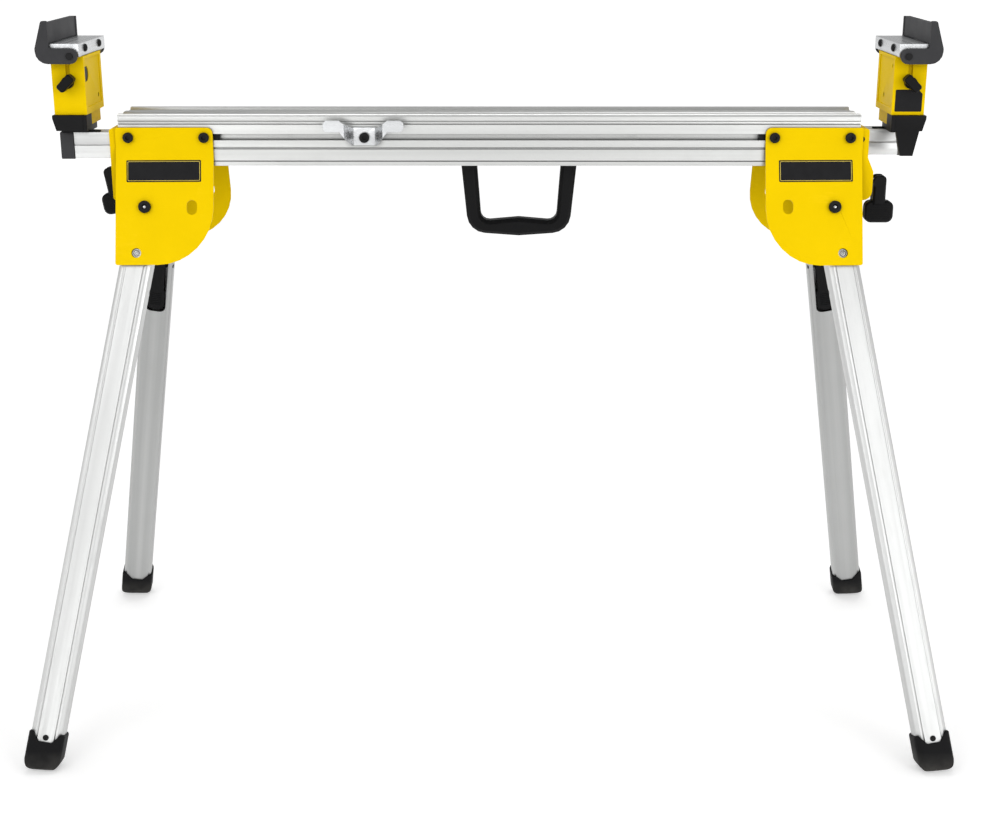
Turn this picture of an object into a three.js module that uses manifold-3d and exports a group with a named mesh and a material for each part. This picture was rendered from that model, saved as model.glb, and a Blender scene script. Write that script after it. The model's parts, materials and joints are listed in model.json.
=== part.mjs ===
// A folding stand for a mitre saw. An extruded beam stands on four legs that fold flat
// under it, and two arms slide out of its ends to carry the ends of a long workpiece.
// Millimetres, +Z up, +X along the beam, and the front of the stand looks towards -Y.
// The origin is on the floor, below the middle of the beam.
//
// The two front legs and the two rear legs are alike under a half turn about Z. So are
// the arms and their clamps. The support heads at the two ends are mirror images.

import * as THREE from 'three';
import { mergeVertices } from 'three/addons/utils/BufferGeometryUtils.js';
import Module from 'manifold-3d';

const wasm = await Module();
wasm.setup();

const LEFT = -1;
const RIGHT = 1;
const DEGREE = Math.PI / 180;

// Clearances and how finely round things are drawn
const TOUCH = 0.3; // between pieces that rest on each other
const OVERRUN = 6; // how far a cut runs past what it cuts
const FINE_SIDES = 20;
const ROUND_SIDES = 14;
const HEX_SIDES = 6;
const ARC_STEPS = 4;

// Beam
const BEAM_LENGTH = 1000;
const BEAM_TOP = 845; // working height above the floor
const BEAM_HEIGHT = 69;
const BEAM_DEPTH = 94;
const BEAM_EDGE_RADIUS = 3;
const RAIL_WIDTH = 10; // raised strips along the top's two edges
const VALLEY_DEPTH = 3.5;
const RIDGE_WIDTH = 16;
const RIDGE_RISE = 2;
const GROOVE_DEPTH = 2;
const GROOVE_SIDE_SHARE = 0.25; // sloping part of a groove at each of its sides
const UPPER_GROOVE_DROP = 8.5; // from the beam's top to the groove's upper edge
const UPPER_GROOVE_WIDTH = 5.5;
const LOWER_GROOVE_DROP = 44;
const LOWER_GROOVE_WIDTH = 3;
const FOOT_GROOVE_DROP = 62;
const FOOT_GROOVE_WIDTH = 1.5;
const SLOT_DROP = 30.5; // to the middle of the T-slot
const SLOT_MOUTH = 8.6;
const SLOT_CAVITY = 16;
const SLOT_LIP = 4;
const SLOT_DEPTH = 10.5;
const BEAM_SKIN = 2.6;

// Extension arms
const ARM_DEPTH = 30;
const ARM_HEIGHT = 35.5;
const ARM_WALL = 2.5;
const ARM_INNER_GAP = 132; // from an arm's inner end to the beam's far end
const ARM_RISE = 8; // arm's underside above the beam's
const ARM_GAP = 6; // between the two arms
const ARM_PLAY = 0.4;
const ARM_OVERHANG = 64; // arm's outer end beyond the beam's
const ARM_GROOVE = 1;
const ARM_CAP_LENGTH = 18;
const ARM_CAP_TONGUE = 14;
const ARM_CAP_LIP = 1.2;
const ARM_CAP_RADIUS = 3;

// Legs: each leans outward along the beam and splays away from it, and its fold plane is
// turned a little about the leg so that the two legs of a pair fold side by side
const LEG_PIVOT_INSET = 35; // from the beam's end
const LEG_PIVOT_DROP = 120.6; // from the beam's top to the pivot's axis at the plate's face
const LEG_LEAN = 10.3 * DEGREE;
const LEG_SPLAY = 18.65 * DEGREE;
const LEG_SKEW = 2 * DEGREE;
const LEG_WIDTH = 44;
const LEG_THICKNESS = 28;
const LEG_WALL = 2.2;
const LEG_RIDGE_WIDTH = 22;
const LEG_GROOVE_WIDTH = 3.4;
const LEG_GROOVE_DEPTH = 1.4;
const LEG_SHOULDER_DROP = 1.2;
const LEG_SHOULDER_RADIUS = 7;
const LEG_INNER_RADIUS = 5;

// Feet
const FOOT_WIDTH = 49;
const FOOT_THICKNESS = 32;
const FOOT_HEIGHT = 56;
const FOOT_SOLE = 16;
const FOOT_BULGE = 4; // below the leg's middle line where it meets the floor
const FOOT_RADIUS = 22; // of the sole, seen from the front
const FOOT_SIDE_RADIUS = 14; // of the sole, seen from the side
const FOOT_CORNER_RADIUS = 9;
const FOOT_NOTCH_WIDTH = 17; // at its bottom
const FOOT_NOTCH_TOP_WIDTH = 38;
const FOOT_NOTCH_HEIGHT = 12.5;
const FOOT_RIM_RADIUS = 4;

// Leg plates
const PLATE_THICKNESS = 3;
const PLATE_WIDTH = 131;
const PLATE_PIVOT_MARGIN = 38.5; // from the pivot to the plate's outboard edge
const PLATE_TOP_DROP = 17.5; // below the beam's top
const PLATE_BEND_DROP = 49;
const PLATE_BOTTOM_DROP = 195;
const PLATE_CURVE_RADIUS = 73;
const PLATE_CORNER_RADIUS = 8;
const PLATE_EDGE_RADIUS = 3;
const PLATE_LEG_GAP = 2.5;
const PLATE_SCREW_MARGIN = 11.5; // inboard screw from the plate's inboard edge
const PLATE_SCREW_SPACING = 102;

// Screws, bolts and clamp bars
const SCREW_RADIUS = 3.5;
const SCREW_PLAY = 0.5;
const SCREW_HEAD_RADIUS = 7;
const PIVOT_HEAD_RADIUS = 8.4;
const SCREW_HEAD_HEIGHT = 5;
const SOCKET_RADIUS = 3.6;
const SOCKET_DEPTH = 3;
const BAR_OVERHANG = 8; // clamp bar beyond the plate's inboard edge
const BAR_THICKNESS = 4;
const BOLT_RADIUS = 5;
const BOLT_COLLAR_RADIUS = 11;
const NUT_RADIUS = 9;
const NUT_HEIGHT = 7;

// Leg lock: a sprung lever in the leg's inner face draws a pin out of the plate's hole
const LOCK_PIN_DROP = 63; // below the leg's pivot
const LOCK_PIN_RADIUS = 6;
const LOCK_PIN_NECK = 3;
const LOCK_PIN_HEAD_RADIUS = 5.5;
const LOCK_PIN_HEAD = 2.5;
const LOCK_PIN_SHOULDER = 5; // from the leg's middle plane to the neck
const LOCK_HEAD_SLACK = 0.6;
const LOCK_SLOT_WIDTH = 14;
const LOCK_SLOT_HEIGHT = 20;
const LOCK_FULCRUM_DROP = 110;
const LOCK_FULCRUM_RADIUS = 3;
const LOCK_FULCRUM_DEPTH = 9;
const LOCK_LEVER_TOP = 53.5;
const LOCK_LEVER_END = 186;
const LOCK_LEVER_WIDTH = 21;
const LOCK_PAD_WIDTH = 25;
const LOCK_PAD_LENGTH = 34;
const LOCK_PAD_ROUND_SHARE = 0.95;
const LOCK_LEVER_PROUD = 1.5;
const LOCK_LEVER_BACK = 7;
const LOCK_FORK_FACE = 13;
const LOCK_FORK_LENGTH = 21;
const LOCK_WINDOW_WIDTH = 29;
const LOCK_WINDOW_MARGIN = 4;

// End caps of the beam
const CAP_TOP_DROP = 19; // below the beam's top
const CAP_BOTTOM_DROP = 116;
const CAP_OVERHANG = 12.5; // beyond the beam's end
const CAP_EDGE_RADIUS = 4;
const BULGE_TOP_DROP = 58; // the bulge that the clamp bears on
const BULGE_SHOULDER_DROP = 77;
const BULGE_OVERHANG = 21;
const BULGE_DEPTH = 34;
const CAP_SIDE_INSET = 0.2; // from the beam's front and back faces
const CAP_WALL = 3.5;
const BULGE_RADIUS = 12;

// Arm clamps: a cam lever pulls a bolt that tips a shoe against the arm
const CLAMP_OVERHANG = 32.5; // lever's pin beyond the beam's end
const CLAMP_DROP = 22; // lever's pin below the beam
const CLAMP_OFFSET = 33; // from the stand's middle plane, away from its arm
const CLAMP_BOLT_RADIUS = 4;
const CLAMP_BOLT_HEAD = 7;
const CLAMP_BOLT_HEAD_LENGTH = 5;
const CLAMP_PIN_RADIUS = 3.5;
const CLAMP_PIN_LENGTH = 16;
const CAM_RADIUS = 8.4;
const CAM_INBOARD = 0.8;
const CAM_DROP = 1.4;
const CLAMP_LEVER_THICKNESS = 22;
const CLAMP_ARM_WIDTH = 17;
const CLAMP_ARM_TOP = 8; // above its pin
const CLAMP_ARM_RADIUS = 6;
const CLAMP_PAD_DROP = 42;
const CLAMP_PAD_SHIFT = 1.3; // away from the beam
const CLAMP_PAD_WIDTH = 39;
const CLAMP_PAD_HEIGHT = 30;
const CLAMP_PAD_THICKNESS = 17;
const CLAMP_PAD_RADIUS = 9;
const CLAMP_BEVEL = 2.5;
const CLAMP_LEFT_SWING = 10 * DEGREE; // the left lever rests turned in a little
const SHOE_GAP = 2.5; // from the beam's end
const SHOE_THICKNESS = 5;
const SHOE_MARGIN = 8; // beyond the clamp bolt's axis
const SHOE_DROP = 11; // below the clamp bolt's axis

// Carrying handle
const HANDLE_OFFSET = 40.7;
const HANDLE_TOP_WIDTH = 160;
const HANDLE_GRIP_WIDTH = 140;
const HANDLE_DROP = 103.5;
const HANDLE_ARM_WIDTH = 22;
const HANDLE_GRIP = 25;
const HANDLE_GRIP_END = 18;
const HANDLE_THICKNESS = 26;
const HANDLE_OUTER_RADIUS = 27;
const HANDLE_INNER_RADIUS = 12;
const HANDLE_BEVEL = 5;
const HANDLE_SCREW_RADIUS = 3;
const HANDLE_SCREW_DEPTH = 26;
const HANDLE_SCREW_BITE = 5;

// Cable cleat on the front slot
const CLEAT_PLACE = -168;
const CLEAT_STRIP = 2.8;
const CLEAT_PLATE_WIDTH = 35;
const CLEAT_PLATE_HEIGHT = 24;
const CLEAT_DROP = 29; // from the beam's top to the middle of the plate
const CLEAT_REACH = 54;
const CLEAT_STAND_OFF = 19;
const CLEAT_ELBOW = 26;
const CLEAT_HORN_RISE = 15.5;
const CLEAT_HORN_HEIGHT = 15.5;
const CLEAT_HORN_RADIUS = 6;
const CLEAT_SCREW_HEAD = 6.8;
const TEE_NUT_LENGTH = 22;

// Support heads
const HEAD_OVERHANG = 59; // head's middle beyond the beam's end
const SLEEVE_WIDTH = 43.5;
const SLEEVE_FRONT = 57;
const SLEEVE_REAR = 39;
const SLEEVE_WALL = 3;
const SLEEVE_BOTTOM_RISE = 26; // above the arm's top
const SLEEVE_SLIT_WIDTH = 5.5;
const SLEEVE_SLIT_HEIGHT = 32;
const SLEEVE_RECESS = 1.2;
const SLEEVE_RECESS_MARGIN = 9;
const POST_PLAY = 0.5;
const POST_WALL = 2.5;
const SLEEVE_HOLE_RADIUS = 3.2;
const SLEEVE_HOLES = { left: [[18, 45]], right: [[-41.5, 89], [0, 47]] };
const SLEEVE_NOTCH_FRONT = 53; // the left sleeve's larger opening, from the stand's middle plane
const SLEEVE_NOTCH_REAR = 30;
const SLEEVE_NOTCH_RISE = 68.5; // above the arm's top
const SLEEVE_NOTCH_HEIGHT = 20;
const POST_REAR = 31;
const POST_HEIGHT = 85;
const BASE_FRONT = 62;
const BASE_BLOCK_REAR = 31;
const BASE_PAD_FRONT = 37;
const BASE_PAD_REAR = 15;
const BASE_WIDTH = 41;
const BASE_SHIFT = 4; // base's middle beyond the sleeve's
const BASE_TAPER = 4.5;
const BASE_RISE = 4.7; // underside of the front block above the arm
const BASE_FLOOR = 3.5; // under the post
const BASE_STRIP_LENGTH = 16;
const BASE_STRIP = 2.5;
const TONGUE_SHIFT = 1;
const TONGUE_TOP_WIDTH = 32;
const TONGUE_WIDTH = 17;
const TONGUE_LENGTH = 28;
const TONGUE_THICKNESS = 10;
const TRAY_TOP_RISE = 120; // above the arm's top
const TRAY_FRONT = 70; // from the stand's middle plane
const TRAY_REAR = 75;
const TRAY_INBOARD = 20; // from the head's middle
const TRAY_OUTBOARD = 28;
const TRAY_SKIN = 1.8;
const TRAY_SKIRT = 12;
const TRAY_FLANGE = 17;
const TRAY_EAR_RADIUS = 8;
const TRAY_STEP = 0.8; // the strip below the stop's fence lies lower

// Flip-over stops
const STOP_PIVOT_INBOARD = 8.4; // pivot's place from the head's middle
const STOP_PIVOT_DROP = 15.8; // below the tray's top
const STOP_THICKNESS = 5;
const STOP_ARM_WIDTH = 20;
const STOP_POST_WIDTH = 18.3;
const STOP_REACH = 36.6; // outboard face from the head's middle
const STOP_RISE = 29.5; // above the tray's top
const STOP_TAPER = 10.5;
const STOP_FENCE = 8; // thickness of the board between the two arms
const STOP_FENCE_RECESS = 1;
const STOP_FENCE_DROP = 3; // below the crest of the arms
const STOP_ELBOW_RADIUS = 16;
const STOP_TOP_RADIUS = 3;
const STOP_ROD_RADIUS = 3;
const STOP_ROD_HEAD = 4.7;
const STOP_ROD_HEAD_LENGTH = 2;

// Head knobs
const KNOB_HEIGHT = 69; // above the arm's top
const KNOB_BOSS_RADIUS = 8;
const KNOB_BOSS_LENGTH = 8;
const KNOB_WING_LENGTH = 25;
const KNOB_WING_WIDTH = 12;
const KNOB_WING_THICKNESS = 12;
const KNOB_WING_RADIUS = 3.5;
const KNOB_BEVEL = 1.5;
const KNOB_TURN = 45 * DEGREE;

// Places that follow from the sizes above
const beamFace = BEAM_DEPTH / 2;
const beamBottom = BEAM_TOP - BEAM_HEIGHT;
const beamEnd = BEAM_LENGTH / 2;
const slotHeight = BEAM_TOP - SLOT_DROP;
const armSpacing = ARM_DEPTH + ARM_GAP; // between the two arms' middles
const armBottom = beamBottom + ARM_RISE;
const armTop = armBottom + ARM_HEIGHT;
const armReach = beamEnd + ARM_OVERHANG;
const armInner = beamEnd - ARM_INNER_GAP;
const plateInner = beamFace + TOUCH;
const plateOuter = plateInner + PLATE_THICKNESS;
const legFace = LEG_THICKNESS / 2;
const legSide = LEG_WIDTH / 2;
const plateBack = legFace + PLATE_LEG_GAP; // plate's inner face from the leg's middle
const plateFront = plateBack + PLATE_THICKNESS;
const plateBottom = BEAM_TOP - PLATE_BOTTOM_DROP;
const pivotReach = beamEnd - LEG_PIVOT_INSET;
const pivotHeight = BEAM_TOP - LEG_PIVOT_DROP;
const plateOutboard = pivotReach + PLATE_PIVOT_MARGIN;
const plateInboard = plateOutboard - PLATE_WIDTH;
const firstScrew = plateInboard + PLATE_SCREW_MARGIN;
const screwReaches = [firstScrew, firstScrew + PLATE_SCREW_SPACING];
const pivotFaceY = plateOuter + (LEG_PIVOT_DROP - PLATE_BEND_DROP) * Math.tan(LEG_SPLAY);
const pivotY = -(pivotFaceY - plateFront * Math.cos(LEG_SPLAY));
const pivotZ = pivotHeight - plateFront * Math.sin(LEG_SPLAY);
const legLength = pivotZ / (Math.cos(LEG_LEAN) * Math.cos(LEG_SPLAY));
const foldAngle = Math.PI / 2 + LEG_LEAN;
const capReach = beamEnd + CAP_OVERHANG;
const bulgeReach = beamEnd + BULGE_OVERHANG;
const capBottom = BEAM_TOP - CAP_BOTTOM_DROP;
const capHalf = beamFace - CAP_SIDE_INSET;
const clampReach = beamEnd + CLAMP_OVERHANG;
const clampHeight = beamBottom - CLAMP_DROP;
const shoeReach = beamEnd + SHOE_GAP;
const headReach = beamEnd + HEAD_OVERHANG;
const sleeveBottom = armTop + SLEEVE_BOTTOM_RISE;
const trayTop = armTop + TRAY_TOP_RISE;
const sleeveTop = trayTop - TRAY_SKIN - TRAY_STEP - TOUCH;
const trayInner = headReach - TRAY_INBOARD;
const trayOuter = headReach + TRAY_OUTBOARD;
const stopOuter = headReach + STOP_REACH;
const stopPostInner = stopOuter - STOP_POST_WIDTH;
const postBottom = armTop + BASE_RISE + BASE_FLOOR + 2 * TOUCH;
const stopPivotReach = headReach - STOP_PIVOT_INBOARD;
const stopPivotHeight = trayTop - STOP_PIVOT_DROP;
const knobHeight = armTop + KNOB_HEIGHT;

// Shapes and solids

// Outlines all run the same way round, whichever side they were mirrored to
function outline(points) {
  const places = points.map(([x, y]) => new THREE.Vector2(x, y));
  if (THREE.ShapeUtils.isClockWise(places)) places.reverse();
  return new THREE.Shape(places);
}

// An outline whose corners are [x, y] or [x, y, radius]
function rounded(corners, steps = ARC_STEPS) {
  const count = corners.length;
  const points = [];
  corners.forEach(([x, y, radius = 0], index) => {
    if (radius === 0) {
      points.push([x, y]);
      return;
    }
    const here = new THREE.Vector2(x, y);
    const back = new THREE.Vector2(...corners[(index + count - 1) % count]).sub(here).normalize();
    const ahead = new THREE.Vector2(...corners[(index + 1) % count]).sub(here).normalize();
    const half = Math.acos(THREE.MathUtils.clamp(back.dot(ahead), -1, 1)) / 2;
    const middle = back.clone().add(ahead).normalize();
    const centre = here.clone().addScaledVector(middle, radius / Math.sin(half));
    const start = here.clone().addScaledVector(back, radius / Math.tan(half)).sub(centre);
    const end = here.clone().addScaledVector(ahead, radius / Math.tan(half)).sub(centre);
    let sweep = end.angle() - start.angle();
    if (sweep > Math.PI) sweep -= 2 * Math.PI;
    if (sweep < -Math.PI) sweep += 2 * Math.PI;
    for (let step = 0; step <= steps; step += 1) {
      const turn = start.angle() + (sweep * step) / steps;
      points.push([centre.x + radius * Math.cos(turn), centre.y + radius * Math.sin(turn)]);
    }
  });
  return outline(points);
}

function rectangle(x0, x1, y0, y1) {
  return outline([[x0, y0], [x1, y0], [x1, y1], [x0, y1]]);
}

function roundRectangle(x0, x1, y0, y1, radius) {
  return rounded([[x0, y0, radius], [x1, y0, radius], [x1, y1, radius], [x0, y1, radius]]);
}

function disc(x, y, radius, sides = ROUND_SIDES) {
  const points = [];
  for (let side = 0; side < sides; side += 1) {
    const turn = (2 * Math.PI * side) / sides;
    points.push([x + radius * Math.cos(turn), y + radius * Math.sin(turn)]);
  }
  return outline(points);
}

function extrude(shape, length, bevel = 0) {
  return new THREE.ExtrudeGeometry(shape, {
    depth: length - 2 * bevel,
    bevelEnabled: bevel > 0,
    bevelThickness: bevel,
    bevelSize: bevel,
    bevelOffset: -bevel,
    bevelSegments: 1,
    curveSegments: ARC_STEPS,
  }).translate(0, 0, bevel);
}

const TO_X = new THREE.Matrix4().set(0, 0, 1, 0, 1, 0, 0, 0, 0, 1, 0, 0, 0, 0, 0, 1);
const TO_Y = new THREE.Matrix4().set(1, 0, 0, 0, 0, 0, -1, 0, 0, 1, 0, 0, 0, 0, 0, 1);

// A (Y, Z) outline drawn out along X, an (X, Z) outline along Y, an (X, Y) outline along Z
function alongX(shape, x0, x1, bevel = 0) {
  const low = Math.min(x0, x1);
  return extrude(shape, Math.abs(x1 - x0), bevel).applyMatrix4(TO_X).translate(low, 0, 0);
}

function alongY(shape, y0, y1, bevel = 0) {
  const high = Math.max(y0, y1);
  return extrude(shape, Math.abs(y1 - y0), bevel).applyMatrix4(TO_Y).translate(0, high, 0);
}

function alongZ(shape, z0, z1, bevel = 0) {
  return extrude(shape, z1 - z0, bevel).translate(0, 0, z0);
}

function block(x0, x1, y0, y1, z0, z1) {
  const size = [Math.abs(x1 - x0), Math.abs(y1 - y0), Math.abs(z1 - z0)];
  return new THREE.BoxGeometry(...size).translate((x0 + x1) / 2, (y0 + y1) / 2, (z0 + z1) / 2);
}

function solid(geometry) {
  const bare = geometry.clone();
  bare.deleteAttribute('normal');
  bare.deleteAttribute('uv');
  const merged = mergeVertices(bare);
  const vertProperties = new Float32Array(merged.attributes.position.array);
  const triVerts = new Uint32Array(merged.index.array);
  return new wasm.Manifold(new wasm.Mesh({ numProp: 3, vertProperties, triVerts }));
}

function join(...geometries) {
  return geometries.map(solid).reduce((whole, piece) => whole.add(piece));
}

function cut(body, ...geometries) {
  return geometries.map(solid).reduce((rest, piece) => rest.subtract(piece), body);
}

function geometryOf(body) {
  const mesh = body.getMesh();
  const geometry = new THREE.BufferGeometry();
  const places = new Float32Array(mesh.vertProperties);
  geometry.setAttribute('position', new THREE.BufferAttribute(places, 3));
  geometry.setIndex(new THREE.BufferAttribute(new Uint32Array(mesh.triVerts), 1));
  geometry.computeVertexNormals();
  return geometry;
}

// Finishes

const FINISHES = {
  aluminium: { color: 0xc9cbcb, roughness: 0.42, metalness: 0.85 },
  yellow: { color: 0xf8cf00, roughness: 0.45, metalness: 0.1 },
  black: { color: 0x1b1b1d, roughness: 0.6, metalness: 0 },
  grey: { color: 0x4b4b4e, roughness: 0.55, metalness: 0.1 },
  steel: { color: 0xb9babc, roughness: 0.35, metalness: 0.95 },
  screw: { color: 0x151515, roughness: 0.4, metalness: 0.6 },
};

function addPiece(parent, name, shape, finish) {
  const geometry = shape.isBufferGeometry ? shape : geometryOf(shape);
  const piece = new THREE.Mesh(geometry, new THREE.MeshStandardMaterial(FINISHES[finish]));
  piece.name = name;
  parent.add(piece);
}

function endName(side) {
  return side === LEFT ? 'left' : 'right';
}

// Beam

function beamHalfOutline() {
  const groove = beamFace - GROOVE_DEPTH;
  const lip = beamFace - SLOT_LIP;
  const slotBack = beamFace - SLOT_DEPTH;
  const railInner = beamFace - RAIL_WIDTH;
  const valley = BEAM_TOP - VALLEY_DEPTH;
  const mouth = SLOT_MOUTH / 2;
  const cavity = SLOT_CAVITY / 2;
  const grooveSides = (drop, width) => [
    [beamFace, BEAM_TOP - drop - width],
    [groove, BEAM_TOP - drop - width * (1 - GROOVE_SIDE_SHARE)],
    [groove, BEAM_TOP - drop - width * GROOVE_SIDE_SHARE],
    [beamFace, BEAM_TOP - drop],
  ];
  return [
    [beamFace, beamBottom],
    ...grooveSides(FOOT_GROOVE_DROP, FOOT_GROOVE_WIDTH),
    ...grooveSides(LOWER_GROOVE_DROP, LOWER_GROOVE_WIDTH),
    [beamFace, slotHeight - mouth],
    [lip, slotHeight - mouth],
    [lip, slotHeight - cavity],
    [slotBack, slotHeight - cavity],
    [slotBack, slotHeight + cavity],
    [lip, slotHeight + cavity],
    [lip, slotHeight + mouth],
    [beamFace, slotHeight + mouth],
    ...grooveSides(UPPER_GROOVE_DROP, UPPER_GROOVE_WIDTH),
    [beamFace, BEAM_TOP - BEAM_EDGE_RADIUS],
    [beamFace - BEAM_EDGE_RADIUS / 3, BEAM_TOP - BEAM_EDGE_RADIUS / 3],
    [beamFace - BEAM_EDGE_RADIUS, BEAM_TOP],
    [railInner, BEAM_TOP],
    [railInner - VALLEY_DEPTH / 2, valley],
    [RIDGE_WIDTH / 2 + RIDGE_RISE, valley],
    [RIDGE_WIDTH / 2, valley + RIDGE_RISE],
  ];
}

function beamOutline() {
  const half = beamHalfOutline();
  const mirrored = half.map(([y, z]) => [-y, z]).reverse();
  return outline([...half, ...mirrored]);
}

// The channels that the arms slide in, with a hollow above and outside each
function beamHollows() {
  const channelInner = armSpacing / 2 - ARM_DEPTH / 2 - ARM_PLAY;
  const channelOuter = armSpacing / 2 + ARM_DEPTH / 2 + ARM_PLAY;
  const sideInner = channelOuter + BEAM_SKIN;
  const sideOuter = beamFace - GROOVE_DEPTH - BEAM_SKIN;
  const sideBottom = beamBottom + BEAM_SKIN;
  const slotFloor = slotHeight - SLOT_CAVITY / 2 - BEAM_SKIN;
  const topFloor = armTop + ARM_PLAY + BEAM_SKIN;
  const topCeiling = BEAM_TOP - VALLEY_DEPTH - BEAM_SKIN;
  return [
    rectangle(channelInner, channelOuter, armBottom - ARM_PLAY, armTop + ARM_PLAY),
    rectangle(sideInner, sideOuter, sideBottom, slotFloor),
    rectangle(BEAM_SKIN, channelOuter, topFloor, topCeiling),
  ];
}

function buildBeam(stand) {
  const body = solid(alongX(beamOutline(), -beamEnd, beamEnd));
  const bores = beamHollows().map((shape) => alongX(shape, -beamEnd - OVERRUN, beamEnd + OVERRUN));
  const mirrored = bores.map((bore) => bore.clone().rotateZ(Math.PI));
  addPiece(stand, 'beam', cut(body, ...bores, ...mirrored), 'aluminium');
}

// End caps: hoods over the beam's ends, with a window for the arm that comes out there

function capShape(inset) {
  const bottom = capBottom + inset;
  const top = BEAM_TOP - CAP_TOP_DROP - inset;
  const inner = inset > 0 ? beamEnd - OVERRUN : beamEnd + TOUCH;
  const radius = CAP_EDGE_RADIUS - inset;
  return [
    [inner, bottom], [capReach - inset, bottom, radius], [capReach - inset, top, radius],
    [inner, top],
  ];
}

function bulgeShape(inset) {
  const bottom = capBottom + inset;
  const inner = capReach - CAP_WALL - inset;
  return [
    [inner, bottom], [bulgeReach - inset, bottom, BULGE_RADIUS - inset],
    [bulgeReach - inset, BEAM_TOP - BULGE_SHOULDER_DROP], [capReach - inset, BEAM_TOP - BULGE_TOP_DROP],
    [inner, BEAM_TOP - BULGE_TOP_DROP],
  ];
}

function mirrorCorners(corners, side) {
  return corners.map(([x, y, radius]) => [side * x, y, radius]);
}

function buildEndCap(stand, side) {
  const across = (shape) => rounded(mirrorCorners(shape, side));
  const room = capHalf - CAP_WALL;
  const bulgeInner = -side * (capHalf - BULGE_DEPTH);
  const shell = join(
    alongY(across(capShape(0)), -capHalf, capHalf),
    alongY(across(bulgeShape(0)), -side * capHalf, bulgeInner),
  );
  const armY = (side * armSpacing) / 2;
  const windowHalf = ARM_DEPTH / 2 + 2 * ARM_PLAY;
  const farX = side * (bulgeReach + OVERRUN);
  const cap = cut(shell,
    alongY(across(capShape(CAP_WALL)), -room, room),
    alongY(across(bulgeShape(CAP_WALL)), -side * room, bulgeInner - side * CAP_WALL),
    block(side * (capReach - CAP_WALL - OVERRUN), farX, armY - windowHalf, armY + windowHalf,
      armBottom - 2 * ARM_PLAY, armTop + 2 * ARM_PLAY),
    alongX(disc(-side * CLAMP_OFFSET, clampHeight, CLAMP_BOLT_RADIUS + SCREW_PLAY),
      side * beamEnd, farX));
  addPiece(stand, `${endName(side)}_end_cap`, cap, 'yellow');
}

// Arm clamp: draw bolt with its cross pin, the shoe that it tips, and the cam lever

function buildArmClamp(stand, side) {
  const boltY = -side * CLAMP_OFFSET;
  const shoeOuter = shoeReach + SHOE_THICKNESS;
  const boltEnd = shoeReach - TOUCH;
  const bolt = join(
    alongX(disc(boltY, clampHeight, CLAMP_BOLT_RADIUS), side * boltEnd, side * clampReach),
    alongX(disc(boltY, clampHeight, CLAMP_BOLT_HEAD, HEX_SIDES),
      side * (boltEnd - CLAMP_BOLT_HEAD_LENGTH), side * boltEnd),
    alongY(disc(side * clampReach, clampHeight, CLAMP_PIN_RADIUS),
      boltY - CLAMP_PIN_LENGTH / 2, boltY + CLAMP_PIN_LENGTH / 2),
  );
  addPiece(stand, `${endName(side)}_clamp_bolt`, bolt, 'steel');

  const shoeInnerY = boltY - side * SHOE_MARGIN;
  const shoeOuterY = side * (armSpacing / 2 + ARM_DEPTH / 2 - BEAM_SKIN);
  const shoe = cut(
    solid(block(side * shoeReach, side * shoeOuter, shoeInnerY, shoeOuterY,
      clampHeight - SHOE_DROP, armBottom - TOUCH)),
    alongX(disc(boltY, clampHeight, CLAMP_BOLT_RADIUS + TOUCH),
      side * (shoeReach - OVERRUN), side * (shoeOuter + OVERRUN)),
  );
  addPiece(stand, `${endName(side)}_clamp_shoe`, shoe, 'steel');
  addPiece(stand, `${endName(side)}_clamp_lever`, clampLever(side, boltY), 'black');
}

function clampLever(side, boltY) {
  const half = CLAMP_LEVER_THICKNESS / 2;
  const padHalf = CLAMP_PAD_THICKNESS / 2;
  const padTop = -CLAMP_PAD_DROP + CLAMP_PAD_HEIGHT / 2;
  const armHalf = CLAMP_ARM_WIDTH / 2;
  const cam = alongY(disc(-side * CAM_INBOARD, -CAM_DROP, CAM_RADIUS, FINE_SIDES), -half, half);
  const arm = alongY(rounded([
    [-armHalf, padTop - OVERRUN], [armHalf, padTop - OVERRUN],
    [armHalf, CLAMP_ARM_TOP, CLAMP_ARM_RADIUS], [-armHalf, CLAMP_ARM_TOP, CLAMP_ARM_RADIUS],
  ]), -half, half, CLAMP_BEVEL);
  const shift = side * CLAMP_PAD_SHIFT;
  const pad = alongY(roundRectangle(shift - CLAMP_PAD_WIDTH / 2, shift + CLAMP_PAD_WIDTH / 2,
    padTop - CLAMP_PAD_HEIGHT, padTop, CLAMP_PAD_RADIUS), -padHalf, padHalf, CLAMP_BEVEL);
  const swing = side === LEFT ? -CLAMP_LEFT_SWING : 0;
  arm.rotateY(swing);
  pad.rotateY(swing);
  const slotHalf = CLAMP_BOLT_RADIUS + TOUCH;
  const slot = block(-CLAMP_ARM_WIDTH, CLAMP_ARM_WIDTH, -slotHalf, slotHalf,
    -slotHalf, CLAMP_ARM_WIDTH);
  const pinHalf = CLAMP_PIN_LENGTH / 2 + TOUCH;
  const pinHole = alongY(disc(0, 0, CLAMP_PIN_RADIUS + TOUCH), -pinHalf, pinHalf);
  const body = cut(join(cam, arm, pad), slot, pinHole);
  return geometryOf(body).translate(side * clampReach, boltY, clampHeight);
}

// Leg plates: a flat flange against the beam and a face that slopes with the leg

// The leg's own frame: pivot at its origin, foot towards -Z, the plate towards -Y
function legFrame(side) {
  const down = new THREE.Vector3(
    side * Math.sin(LEG_LEAN),
    -Math.cos(LEG_LEAN) * Math.sin(LEG_SPLAY),
    -Math.cos(LEG_LEAN) * Math.cos(LEG_SPLAY),
  );
  const outward = new THREE.Vector3(0, -Math.cos(LEG_SPLAY), Math.sin(LEG_SPLAY));
  outward.applyAxisAngle(down, -LEG_SKEW);
  const across = new THREE.Vector3().crossVectors(outward, down);
  const frame = new THREE.Matrix4().makeBasis(across, outward.negate(), down.negate());
  return frame.setPosition(side * pivotReach, pivotY, pivotZ);
}

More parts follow.
